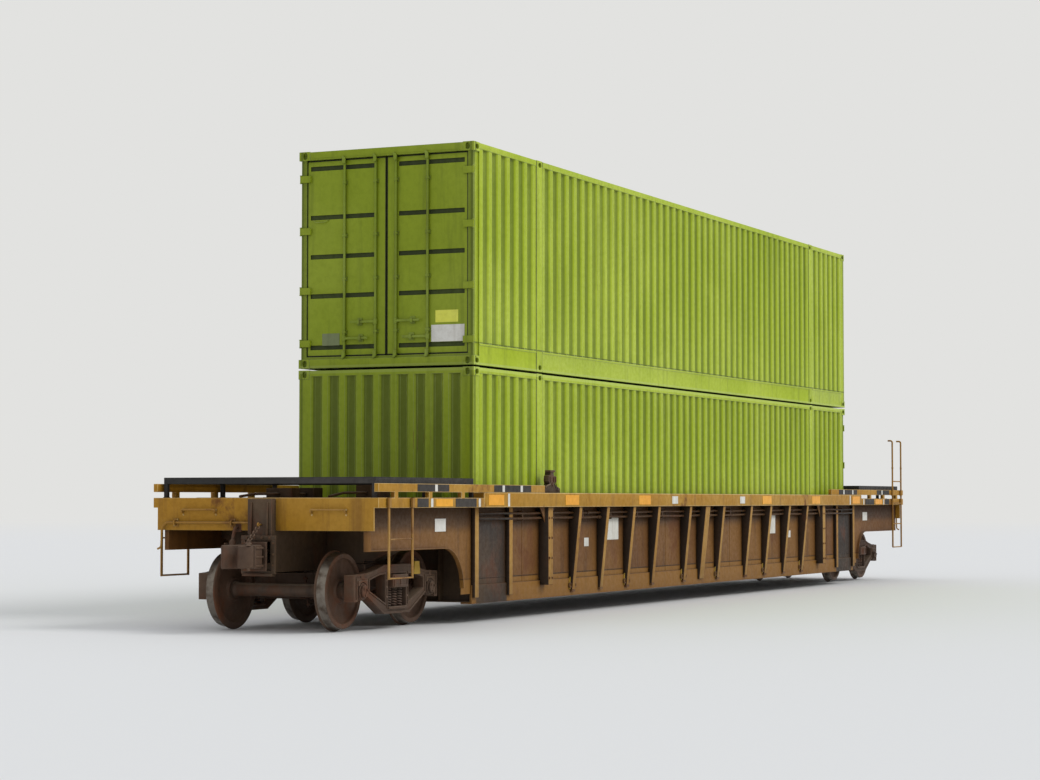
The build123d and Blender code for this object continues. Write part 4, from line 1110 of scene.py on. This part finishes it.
# The couplers, drawn at the +X end and turned round for the other. Outlines are seen from above, as shares
# of the head's length from the pulling face and from the middle line.
couplerHead = {
    "face": 11.70, "length": 0.34, "z": 0.904, "half": 0.14, "step": 0.01,
    "shank": (10.56, 11.37, 0.07, 0.08),
    "web": (0.035, 0.030, 0.045),
    "head": ((-1, -0.21), (-0.74, -0.49), (-0.18, -0.56), (0.21, -0.63), (0.28, -0.5), (0, -0.35),
             (-0.24, -0.28), (-0.26, 0.18), (-0.18, 0.51), (-0.74, 0.49), (-1, 0.21)),
    "knuckle": ((-0.258, 0.184), (-0.2, 0.06), (-0.12, -0.06), (0, -0.1), (0.07, 0.06), (0.06, 0.32),
                (-0.06, 0.485), (-0.176, 0.505)),
    "headBend": 0.035, "knuckleBend": 0.05, "crown": ((0.016, 0.0), (0.005, 0.005), (0.0, 0.016)),
}
# The end of the brake pipe beside each coupler: pipe, clamp, cock and its handle
airCock = {"at": (11.255, -0.36, 1.02), "start": ((11.14, 1.24), (11.20, 1.24)), "pipe": 0.021, "bend": 0.06,
           "clampX": (11.135, 11.152),
           "barrel": ((0.030, -0.05), (0.040, -0.03), (0.040, 0.03), (0.030, 0.05)),
           "nozzle": ((0.026, -0.105), (0.031, -0.100), (0.031, -0.070), (0.024, -0.066), (0.024, -0.04))}
# The coupler's fittings: horn, pin, lifter, ribs of the head, carrier, striker
couplerFit = {
    "horn": (11.322, 11.352, 0.155, 0.732, 1.076), "hornOpen": (0.074, 0.808, 1.000),
    "pin": (11.688, 0.118, 0.020),
    "pinHead": 0.030, "lifter": (11.52, 0.02, 0.026), "striker": (11.238, 11.272), "strikerHalf": 0.235,
    "strikerHigh": (0.700, 1.150), "strikerBar": 0.055, "strikerFoot": 0.034, "ribs": (-0.11, 0.11),
    "ribTop": 1.545, "carrier": (11.205, 11.300, 0.205, 0.670, 0.702), "headRibs": (0.800, 0.904, 1.008),
    "sideBolts": (0.80, 0.93, 1.06), "topBolts": (-0.155, -0.05, 0.05, 0.155),
    "ribRight": ((11.372, -0.088), (11.452, -0.178), (11.63, -0.203), (11.752, -0.222), (11.752, -0.208),
                 (11.635, -0.186), (11.46, -0.160), (11.40, -0.088)),
    "ribLeft": ((11.372, 0.088), (11.40, 0.088), (11.452, 0.158), (11.61, 0.160), (11.61, 0.182),
                (11.448, 0.180)),
}
lever = {"x": 11.186, "rod": 0.0125, "z": 1.30, "handleY": -1.40, "drop": 0.98, "brackets": (-1.22, -0.42),
         "plates": ((-0.037, -0.029, 0.035, 0.05), (-0.030, 0.026, 0.008, 0.028)),
         "bolts": ((0.022, 0.034), (-0.022, -0.034)), "eye": 0.118, "links": 8, "linkPitch": 0.036,
         "link": (0.024, 0.006), "foot": (11.52, 0.02, 1.085)}
grabs = {"wall": 11.151, "y": (0.66, 1.12), "z": 1.455, "drop": 0.03, "stand": 0.045, "rod": 0.010}


def endPlace(end, x=0):
    return Matrix.Rotation(0 if end == "b" else math.pi, 4, "Z") @ Matrix.Translation((x, 0, 0))


def makeCoupler(end):
    draft, fit = Draft(endPlace(end)), couplerHead
    low, high, halfY, halfZ = fit["shank"]
    webY, webZ, flangeZ = fit["web"]
    right = [(halfY, -halfZ), (halfY, -flangeZ), (webY, -webZ), (webY, webZ), (halfY, flangeZ),
             (halfY, halfZ)]
    for outline, start, stop in ((right, low, high - 0.10), (right[::5], high - 0.104, high)):
        draft.prism(mirrored(outline, 0, fit["z"]), start, stop, 0)
    for key, half in (("head", fit["half"]), ("knuckle", fit["half"] - fit["step"])):
        points = turning([(fit["face"] + x * fit["length"], y * fit["length"]) for x, y in fit[key]])
        draft.crowned(softOutline(points, fit[key + "Bend"]), *about(fit["z"], half), fit["crown"])
    draft.keep(f"coupler_{end}_cast", "casting_steel", looks=castLooks, smooth=46, replaced="coupler_" + end)


def makeAirCock(end):
    draft, fit = Draft(endPlace(end)), airCock
    x, y, z = fit["at"]
    path = [(a, y, b) for a, b in fit["start"]] + [(x, y, z + 0.10), (x, y, z - 0.01)]
    draft.tube(path, fit["pipe"], 12, fit["bend"])
    for key in ("barrel", "nozzle"):
        draft.turned(fit[key], (x, y, z + 0.03), (0, 0, 1))
    draft.drum(0.016, 0, 0.05, (x, y, z + 0.03), (0, -1, 0), 14)
    draft.block((x - 0.012, x + 0.10), (y - 0.062, y - 0.050), (z + 0.022, z + 0.040))
    draft.block(fit["clampX"], about(y, 0.055), (1.19, 1.29))
    draft.keep(f"air_cock_{end}", "frame_dark", looks=castLooks, edge=0.002)


def makeCouplerFit(end):
    cast, striker, fit = Draft(endPlace(end)), Draft(endPlace(end)), couplerFit
    low, high, half, bottom, top = fit["horn"]
    openY, *openZs = fit["hornOpen"]
    cast.frameX((low, high), about(0, half), (bottom, top), about(0, openY), openZs)
    x, y, radius = fit["pin"]
    head = fit["pinHead"]
    cast.turned(((head, 0), (head, 0.012), (head - 0.008, 0.018)), (x, y, 1.034), (0, 0, 1))
    cast.drum(radius, 0, 0.03, (x, y, 0.748), (0, 0, 1), 16)
    x, y, radius = fit["lifter"]
    cup = ((radius + 0.02, 0), (radius + 0.016, 0.02), (radius, 0.03), (radius, 0.055))
    cast.turned(cup, (x, y, 1.040), (0, 0, 1))
    for z in fit["headRibs"]:
        for key in ("ribRight", "ribLeft"):
            cast.prism(fit[key], *about(z, 0.010), 2)
    cast.keep(f"coupler_{end}_cast_parts", "casting_steel", edge=0.004, segments=2)
    # striker: a frame round the pocket with ribs above it, and the carrier under the shank
    x0, x1 = fit["striker"]
    half, bar, foot = fit["strikerHalf"], fit["strikerBar"], fit["strikerFoot"]
    bottom, top = fit["strikerHigh"]
    striker.frameX((x0, x1), about(0, half), (bottom, top), about(0, half - bar), (bottom + foot, top - bar))
    for y in fit["ribs"]:
        rib = [(x0 - 0.002, top), (x1, top), (x0 + 0.012, fit["ribTop"]), (x0 - 0.002, fit["ribTop"])]
        striker.prism(rib, *about(y, 0.012))
    a, b, half, c, d = fit["carrier"]
    striker.block((a, b), about(0, half), (c, d))
    bolts = [(y, z) for z in fit["sideBolts"] for y in (-0.208, 0.208)]
    bolts += [(y, top - 0.027) for y in fit["topBolts"]]
    for y, z in bolts:
        striker.stud((x1, y, z), (1, 0, 0))
    striker.keep(f"striker_{end}", "frame_dark", edge=0.004, segments=2)
    striker.keepStuds(f"striker_{end}_bolts", "frame_dark", 0.013, 0.011)


def makeLever(end):
    draft, chain = Draft(endPlace(end)), Draft(endPlace(end))
    x, z, y = lever["x"], lever["z"], lever["handleY"]
    path = [(x + 0.02, y - 0.05, lever["drop"]), (x + 0.02, y, lever["drop"] + 0.02), (x, y, z - 0.06),
            (x, y + 0.05, z), (x, -0.06, z), (x, 0.012, z - 0.02), (x + 0.10, 0.02, z - 0.02)]
    draft.tube(path, lever["rod"], 10, 0.05)
    draft.hoop((x + lever["eye"], 0.02, z - 0.02), (0, 1, 0), 0.02, 0.007)
    # a chain of links down to the lock lifter
    eye, sideways = Vector((x + lever["eye"], 0.02, z - 0.04)), Vector((0, 1, 0))
    run = (Vector(lever["foot"]) - eye).normalized()
    radius, wire = lever["link"]
    for n in range(lever["links"]):
        facing = sideways if n % 2 else run.cross(sideways)
        chain.hoop(eye + run * (radius + lever["linkPitch"] * n), facing, radius, wire, 18)
    chain.keep(f"lifter_chain_{end}", "casting_steel", looks=castLooks[1:], smooth=60)
    for y in lever["brackets"]:
        for near, far, halfY, halfZ in lever["plates"]:
            draft.block((x + near, x + far), about(y, halfY), about(z, halfZ))
        for a, b in lever["bolts"]:
            draft.stud((x + lever["plates"][0][1], y + a, z + b), (1, 0, 0))
    wall, out = grabs["wall"], grabs["wall"] + grabs["stand"]
    high, low = grabs["z"], grabs["z"] - grabs["drop"]
    for side in (-1, 1):
        inner, outer = (side * y for y in grabs["y"])
        grip = [(wall, inner, low), (out, inner, low), (out, inner, high), (out, outer, high),
                (out, outer, low), (wall, outer, low)]
        draft.tube(grip, grabs["rod"], 10, 0.025, 4)
        for y in (inner, outer):
            for a in (-0.03, 0.03):
                draft.stud((11.150, y, low + a), (1, 0, 0))
    draft.keep(f"uncoupling_lever_{end}", "post_ochre", smooth=50)
    draft.keepStuds(f"end_sill_{end}_bolts", "chord_ochre", 0.010, 0.009)


# On the decks: valve boxes and their pipes, and the seams of the deck's plates.
# Each box: x, y, length, width, height
under = {"boxes": ((9.55, 0.62, 0.34, 0.30, 0.16), (9.05, -0.55, 0.24, 0.22, 0.13),
                   (10.35, -0.2, 0.20, 0.36, 0.12)),
         "deck": 1.598, "pipe": 0.017, "seams": (8.9, 9.6, 10.3), "seamY": 1.47, "long": (8.33, 11.1),
         "bead": 0.005}


def makeUnder(end):
    draft, seams = Draft(endPlace(end)), Draft(endPlace(end))
    base, pipe = under["deck"], under["pipe"]
    for x, y, length, width, height in under["boxes"]:
        draft.block(about(x, length / 2 + 0.03), about(y, width / 2 + 0.03), (base, base + 0.008))
        draft.block(about(x, length / 2), about(y, width / 2), (base + 0.008, base + height))
        draft.turned(((height * 0.34, -0.05), (height * 0.34, 0.0), (height * 0.2, 0.0)),
                     (x, y - width / 2, base + height * 0.55), (0, -1, 0))
        z = base + height * 0.4
        for way in (-1, 1):
            bend = x + way * (length / 2 + 0.12)
            draft.tube([(x + way * length * 0.3, y, z), (bend, y, z), (bend, y - 0.25, z),
                        (x + way * (length / 2 + 0.5), y - 0.25, base + pipe)], pipe, 10, 0.06, 4)
    lines = [[(x, y, base) for y in (-under["seamY"], under["seamY"])] for x in under["seams"]]
    lines += [[(x, y, base) for x in under["long"]] for y in (-0.19, 0.19)]
    for line in lines:
        seams.tube(line, under["bead"], 6)
    draft.keep(f"valve_boxes_{end}", "frame_dark", edge=0.003)
    seams.keep(f"deck_seams_{end}", "chord_ochre", smooth=60)


for end in "ab":
    makeCoupler(end)
    makeAirCock(end)
    makeCouplerFit(end)
    makeLever(end)
    makeUnder(end)
print("stage: ends of the car fitted out")


# Trucks: raised rims of the castings, wedges, brake rigging and column bolts, drawn at the +X truck
# about its middle
truck = {
    "x": 9.775, "face": 1.068, "proud": 0.010, "rim": 0.024, "base": 0.889,
    "outer": ((0.33, 0.193), (0.7695, 0.423), (0.7695, 0.620), (1.0085, 0.620), (1.0085, 0.363),
              (1.092, 0.363), (1.092, 0.683), (0.7695, 0.698), (0.53, 0.738), (0.33, 0.788)),
    "window": ((0.300, 0.323), (0.300, 0.678), (0.450, 0.668), (0.7035, 0.613), (0.7035, 0.483)),
    "bay": ((-0.236, 0.278), (0.236, 0.278), (0.236, 0.678), (-0.236, 0.678)),
    "bolster": ((-0.178, 0.520), (0.178, 0.520), (0.178, 0.656), (-0.178, 0.656)), "bolsterEnd": 1.126,
    "wedge": (0.191, 0.235, 0.955, 1.052, 0.500, 0.655), "columnBolts": (0.268, (0.40, 0.52, 0.60)),
    "rod": 0.013, "bolsterRim": (0.022, 0.014), "bolsterWeb": (0.012, 0.012, 0.54, 0.64),
    "beam": (0.262, 0.390), "beamEnd": 0.86, "strut": 0.135, "strutY": (0.014, 0.034), "strutHalf": 0.022,
    "lever": (0.008, 0.036), "leverFoot": (0.02, 0.262), "pins": (0.03, 0.135), "pin": (0.016, 0.026),
    "underRod": (0.027, 0.291, 0.016), "leverHead": (0.11, 0.640), "tag": (0.52, 0.655, 0.17, 0.16),
    "tagY": (1.066, 1.086), "capZ": 0.662,
    "cap": ((0.036, 0), (0.036, 0.012), (0.028, 0.018)),
}


def makeTruck(end):
    body, fit, place = "truck_" + end, truck, endPlace(end, truck["x"])
    cast, steel, rig, tags = (Draft(place) for n in range(4))
    outline = mirrored(fit["outer"])
    holes = fit["window"], [(-x, z) for x, z in fit["window"]], fit["bay"]
    near, far, inner, outer, bottom, top = fit["wedge"]
    tagX, tagZ, length, height = fit["tag"]
    boltX, boltHeights = fit["columnBolts"]
    for side in (1, -1):
        low, high = side * (fit["face"] - 0.004), side * (fit["face"] + fit["proud"])
        cast.rim(outline, fit["rim"], low, high)
        for hole in holes:
            cast.rim(hole, -fit["rim"] * 0.8, low, high)
        start, (width, out), (half, outWeb, *webZ) = fit["bolsterEnd"], fit["bolsterRim"], fit["bolsterWeb"]
        steel.rim(fit["bolster"], width, side * start, side * (start + out))
        steel.block(about(0, half), (side * start, side * (start + outWeb)), webZ)
        tag = mirrored(((length / 2, 0), (length * 0.36, height)), -tagX, tagZ)
        tags.prism(tag, *(side * y for y in fit["tagY"]))
        for hand in (-1, 1):
            cast.turned(fit["cap"], (hand * fit["base"], low, fit["capZ"]), (0, side, 0))
            for z in boltHeights:
                cast.stud((hand * boltX, side * (fit["face"] + 0.001), z), (0, side, 0))
            wedge = [(hand * near, bottom), (hand * far, bottom), (hand * far, top),
                     (hand * near, top - 0.06)]
            steel.prism(wedge, side * inner, side * outer)
    cast.keep(f"truck_{end}_cast_rims", "casting_steel", body, edge=0.003, segments=2)
    steel.keep(f"truck_{end}_wedges", "casting_steel", body, edge=0.003)
    cast.keepStuds(f"truck_{end}_column_bolts", "casting_steel", 0.013, 0.010, body)
    # brake rigging: struts, tension rods, levers and the rod that joins them under the bolster
    x, z = fit["beam"]
    thin, wide = fit["lever"]
    for hand in (-1, 1):
        strut = hand * (x + fit["strut"])
        for side in (-1, 1):
            rig.rod((hand * x, side * fit["beamEnd"], z), (strut, 0, z), fit["rod"], 10)
            rig.block((hand * x, strut), [side * y for y in fit["strutY"]], about(z, fit["strutHalf"]))
        foot, head = (Vector((hand * (x + a), 0, b)) for a, b in (fit["leverFoot"], fit["leverHead"]))
        run = (head - foot).normalized()
        across = Vector((run.z, 0, -run.x)) * wide / 2
        blade = (foot - across, foot + across, head + across * 0.7, head - across * 0.7)
        rig.prism([(p.x, p.z) for p in blade], *about(0, thin))
        (near, far), (radius, half) = fit["pins"], fit["pin"]
        for spot in (foot + run * near, foot + run * far, head - run * near):
            rig.drum(radius, -half, half, spot, steps=14)
    past, level, radius = fit["underRod"]
    rig.rod((-x - past, 0, level), (x + past, 0, level), radius, 12)
    rig.keep(f"truck_{end}_brake_rigging", "casting_steel", body, smooth=45)
    tags.keep(f"truck_{end}_tags", "casting_steel", body, (footYellow,), edge=0.002)


for end in "ab":
    makeTruck(end)
print("stage: trucks fitted out")


# Guides: the hinge pins, straps, caps, foot bolts, lock levers and chains of the folding castings
guide = {
    "x": 6.05, "foot": 1.668, "top": 1.978, "inner": 1.42, "pin": (-0.02, 0.115, 0.026), "pinPast": 0.02,
    "plates": ((-0.099, 0.049, 0.004, 0.010, 0.030, 0.001), (-0.095, 0.041, 0.003, 0.008, 0.105, 0.085)),
    "collar": (0.016, 0.014, 0.022), "strap": (0.011, 0.016, 0.145, 0.222), "boltIn": 0.016, "boltZ": 0.060,
    "head": ((-0.150, 0.135), (0.085, 0.135), (0.100, 0.165), (0.085, 0.235), (-0.020, 0.245),
             (-0.135, 0.225), (-0.160, 0.175)),
    "straps": (-0.120, -0.065, 0.045), "webs": (-0.245, -0.17, 0.13, 0.2, 0.265),
    "web": ((-0.008, 0.055), (0.008, 0.055), (0.008, 0.078), (-0.008, 0.082)),
    "bolts": (-0.27, -0.21, 0.165, 0.235, 0.285),
    "lever": ((0.06, 0.012, 0.12), (0.16, 0.014, 0.10), (0.24, 0.014, 0.07)),
    "links": 5, "link": (0.013, 0.0035), "chain": (0.11, 0.014, 0.115), "linkStep": (0.02, 0.021),
}


def makeGuides():
    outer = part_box("container_guides")[1].y
    inner, x, foot, top = guide["inner"], guide["x"], guide["foot"], guide["top"]
    draft = Draft()
    for end in "ba":
        draft.place = endPlace(end)
        for near, far, into, out, drop, rise in guide["plates"]:
            draft.block((x + near, x + far), (inner - into, outer + out), (top - drop, top - rise))
        dx, dz, radius = guide["pin"]
        past, (wider, near, far) = guide["pinPast"], guide["collar"]
        spot, reach = (x + dx, inner - past, foot + dz), outer - inner + 2 * past
        draft.drum(radius, 0, reach, spot)
        draft.drum(radius + wider, near, far, spot, steps=24)
        draft.drum(radius + wider, reach - far, reach - near, spot, steps=24)
        draft.prism([(x + a, foot + b) for a, b in guide["head"]], inner - 0.006, outer + 0.004)
        for dx in guide["straps"]:
            half, out, low, high = guide["strap"]
            draft.block(about(x + dx, half), (outer, outer + out), (foot + low, foot + high))
        for dx in guide["webs"]:
            web = [(x + dx + a, foot + b) for a, b in guide["web"]]
            draft.prism(web, inner + 0.006, outer - 0.006)
        for dx in guide["bolts"]:
            for y in (inner + guide["boltIn"], outer - guide["boltIn"]):
                draft.stud((x + dx, y, foot + guide["boltZ"]), (0, 0, 1))
        draft.tube([(x + a, outer + b, foot + c) for a, b, c in guide["lever"]], 0.010, 10)
        for n in range(guide["links"]):
            # the links lean the same way at both ends
            facing = (0, 1, 0) if n % 2 else draft.way((1, 0, 1))
            (dx, out, dz), (stepX, stepZ) = guide["chain"], guide["linkStep"]
            spot = (x - dx - stepX * n, outer + out, foot + dz - stepZ * n)
            draft.hoop(spot, facing, *guide["link"], 12, 6)
    draft.keep("guide_castings", "frame_dark", looks=castLooks, edge=0.003)
    draft.keepStuds("guide_foot_bolts", "frame_dark", 0.012, 0.012, look=castLooks[1])


makeGuides()
print("stage: guides fitted out")


# Blank plates, door loops, rain gutter and lashing rings of the containers, drawn for doors at -X
boxFit = {
    "plates": (("white", plateWhite, "right", (-1.14, -0.66), (0.31, 0.53)),
               ("yellow", lemonLabel, "right", (-1.05, -0.72), (0.56, 0.72)),
               ("plate", zincPlate, "left", (0.70, 0.96), (0.30, 0.46))),
    "face": -8.032, "proud": 0.0025, "loop": (0.86, 1.10, 1.975, 0.030), "wire": 0.006,
    "gutter": (1.08, 2.786), "gutterX": (-8.0768, -8.060), "rings": 13, "ringPitch": 1.22, "ringY": 1.205,
    "ringZ": 0.215,
    "ring": (0.026, 0.005),
}


def makeBoxFit(container):
    place, fit = containerPlace(container), boxFit
    face = fit["face"]
    bodies = {side: "car" if container == "lower" else "door_" + side for side in ("left", "right")}
    for key, look, side, ys, zs in fit["plates"]:
        plate = Draft(place)
        plate.block((face - fit["proud"], face + 0.002), ys, zs)
        plate.keep(f"{container}_{key}_plate", "container_green", bodies[side], (look,), edge=0.0008)
    loop, rest = Draft(place), Draft(place)
    a, b, z, drop = fit["loop"]
    left = [(face + 0.003, a, z), (face - 0.018, a + 0.01, z), (face - 0.022, a + 0.05, z - drop)]
    loop.tube(left + [(x, a + b - y, level) for x, y, level in left[::-1]], fit["wire"], 8, 0.03, 4)
    loop.keep(f"{container}_door_loop", "rod_steel", bodies["left"], smooth=60)
    half, z = fit["gutter"]
    rest.block(fit["gutterX"], about(0, half), (z, z + 0.010))
    for side in (-1, 1):
        for n in range(fit["rings"]):
            x = (n - (fit["rings"] - 1) / 2) * fit["ringPitch"]
            rest.hoop((x, side * fit["ringY"], fit["ringZ"]), (1, 0.3 * side, 0), *fit["ring"], 14, 6)
    rest.keep(f"{container}_gutter_and_rings", "container_green", smooth=50)


for container in ("lower", "upper"):
    makeBoxFit(container)
print("stage: containers fitted out")


# The stage: a wide pale floor that fades into the world's colour, one soft sun and an even sky
stage = {"floor": 900.0, "near": 45.0, "far": 160.0, "colour": (226, 226, 224), "skyColour": (246, 249, 255),
         "sky": 0.78, "sun": 1.1, "sunAngle": 24.0, "sunTurn": (48.0, 0.0, 16.0)}
# The camera stands where the photograph was taken and turns to the middle of the car
photoCamera = {"place": (-36.174, -14.8435, 1.5694), "turn": 24.65, "tilt": 2.6, "lens": 84.0, "sensor": 36.0,
               "clip": 3000.0}


def makeFloor():
    material, tree, shader, coordinates = startMaterial("floorPale")
    shader.inputs["Roughness"].default_value = 0.9
    shader.inputs["Base Color"].default_value = tint(*stage["colour"])
    place = {0: coordinates["Object"]}
    reach = addNode(tree, "ShaderNodeVectorMath", place, operation="LENGTH").outputs["Value"]
    far = ramp(tree, reach, stage["near"], stage["far"])
    glow = addNode(tree, "ShaderNodeEmission", {"Color": tint(*stage["colour"]), "Strength": 1.0}).outputs[0]
    mix = addNode(tree, "ShaderNodeMixShader", {0: far, 1: shader.outputs[0], 2: glow}).outputs[0]
    tree.links.new(mix, tree.nodes["Material Output"].inputs["Surface"])
    mesh = bpy.data.meshes.new("floor")
    half = stage["floor"]
    mesh.from_pydata([(-half, -half, 0), (half, -half, 0), (half, half, 0), (-half, half, 0)], [],
                     [(0, 1, 2, 3)])
    enter("floor", mesh, (material,))


def makeWorld():
    scene.world = bpy.data.worlds.new("sky")
    scene.world.use_nodes = True
    tree = scene.world.node_tree
    tree.nodes.clear()
    ray = addNode(tree, "ShaderNodeLightPath").outputs
    mirrored = math2(tree, "MAXIMUM", ray["Is Glossy Ray"], ray["Is Transmission Ray"])
    seen = math2(tree, "MAXIMUM", ray["Is Camera Ray"], mirrored)
    light, backdrop = (
        addNode(tree, "ShaderNodeBackground", {"Color": tint(*stage[key]), "Strength": power}).outputs[0]
        for key, power in (("skyColour", stage["sky"]), ("colour", 1.0)))
    mix = addNode(tree, "ShaderNodeMixShader", {0: seen, 1: light, 2: backdrop}).outputs[0]
    addNode(tree, "ShaderNodeOutputWorld", {"Surface": mix})


def makeSun():
    sun = bpy.data.objects.new("sun", bpy.data.lights.new("sun", "SUN"))
    sun.data.energy = stage["sun"]
    sun.data.angle = math.radians(stage["sunAngle"])
    sun.rotation_euler = [math.radians(v) for v in stage["sunTurn"]]
    scene.collection.objects.link(sun)


def makeCamera():
    camera = bpy.data.objects.new("camera", bpy.data.cameras.new("camera"))
    camera.data.lens, camera.data.sensor_width = photoCamera["lens"], photoCamera["sensor"]
    camera.data.clip_end = photoCamera["clip"]
    turn, tilt = math.radians(photoCamera["turn"]), math.radians(photoCamera["tilt"])
    aim = Vector((math.cos(tilt) * math.cos(turn), math.cos(tilt) * math.sin(turn), math.sin(tilt)))
    camera.location = photoCamera["place"]
    camera.rotation_euler = aim.to_track_quat("-Z", "Y").to_euler()
    scene.collection.objects.link(camera)
    scene.camera = camera


makeFloor()
makeWorld()
makeSun()
makeCamera()
scene.view_settings.view_transform = "Standard"
print("stage: floor, light and camera set")
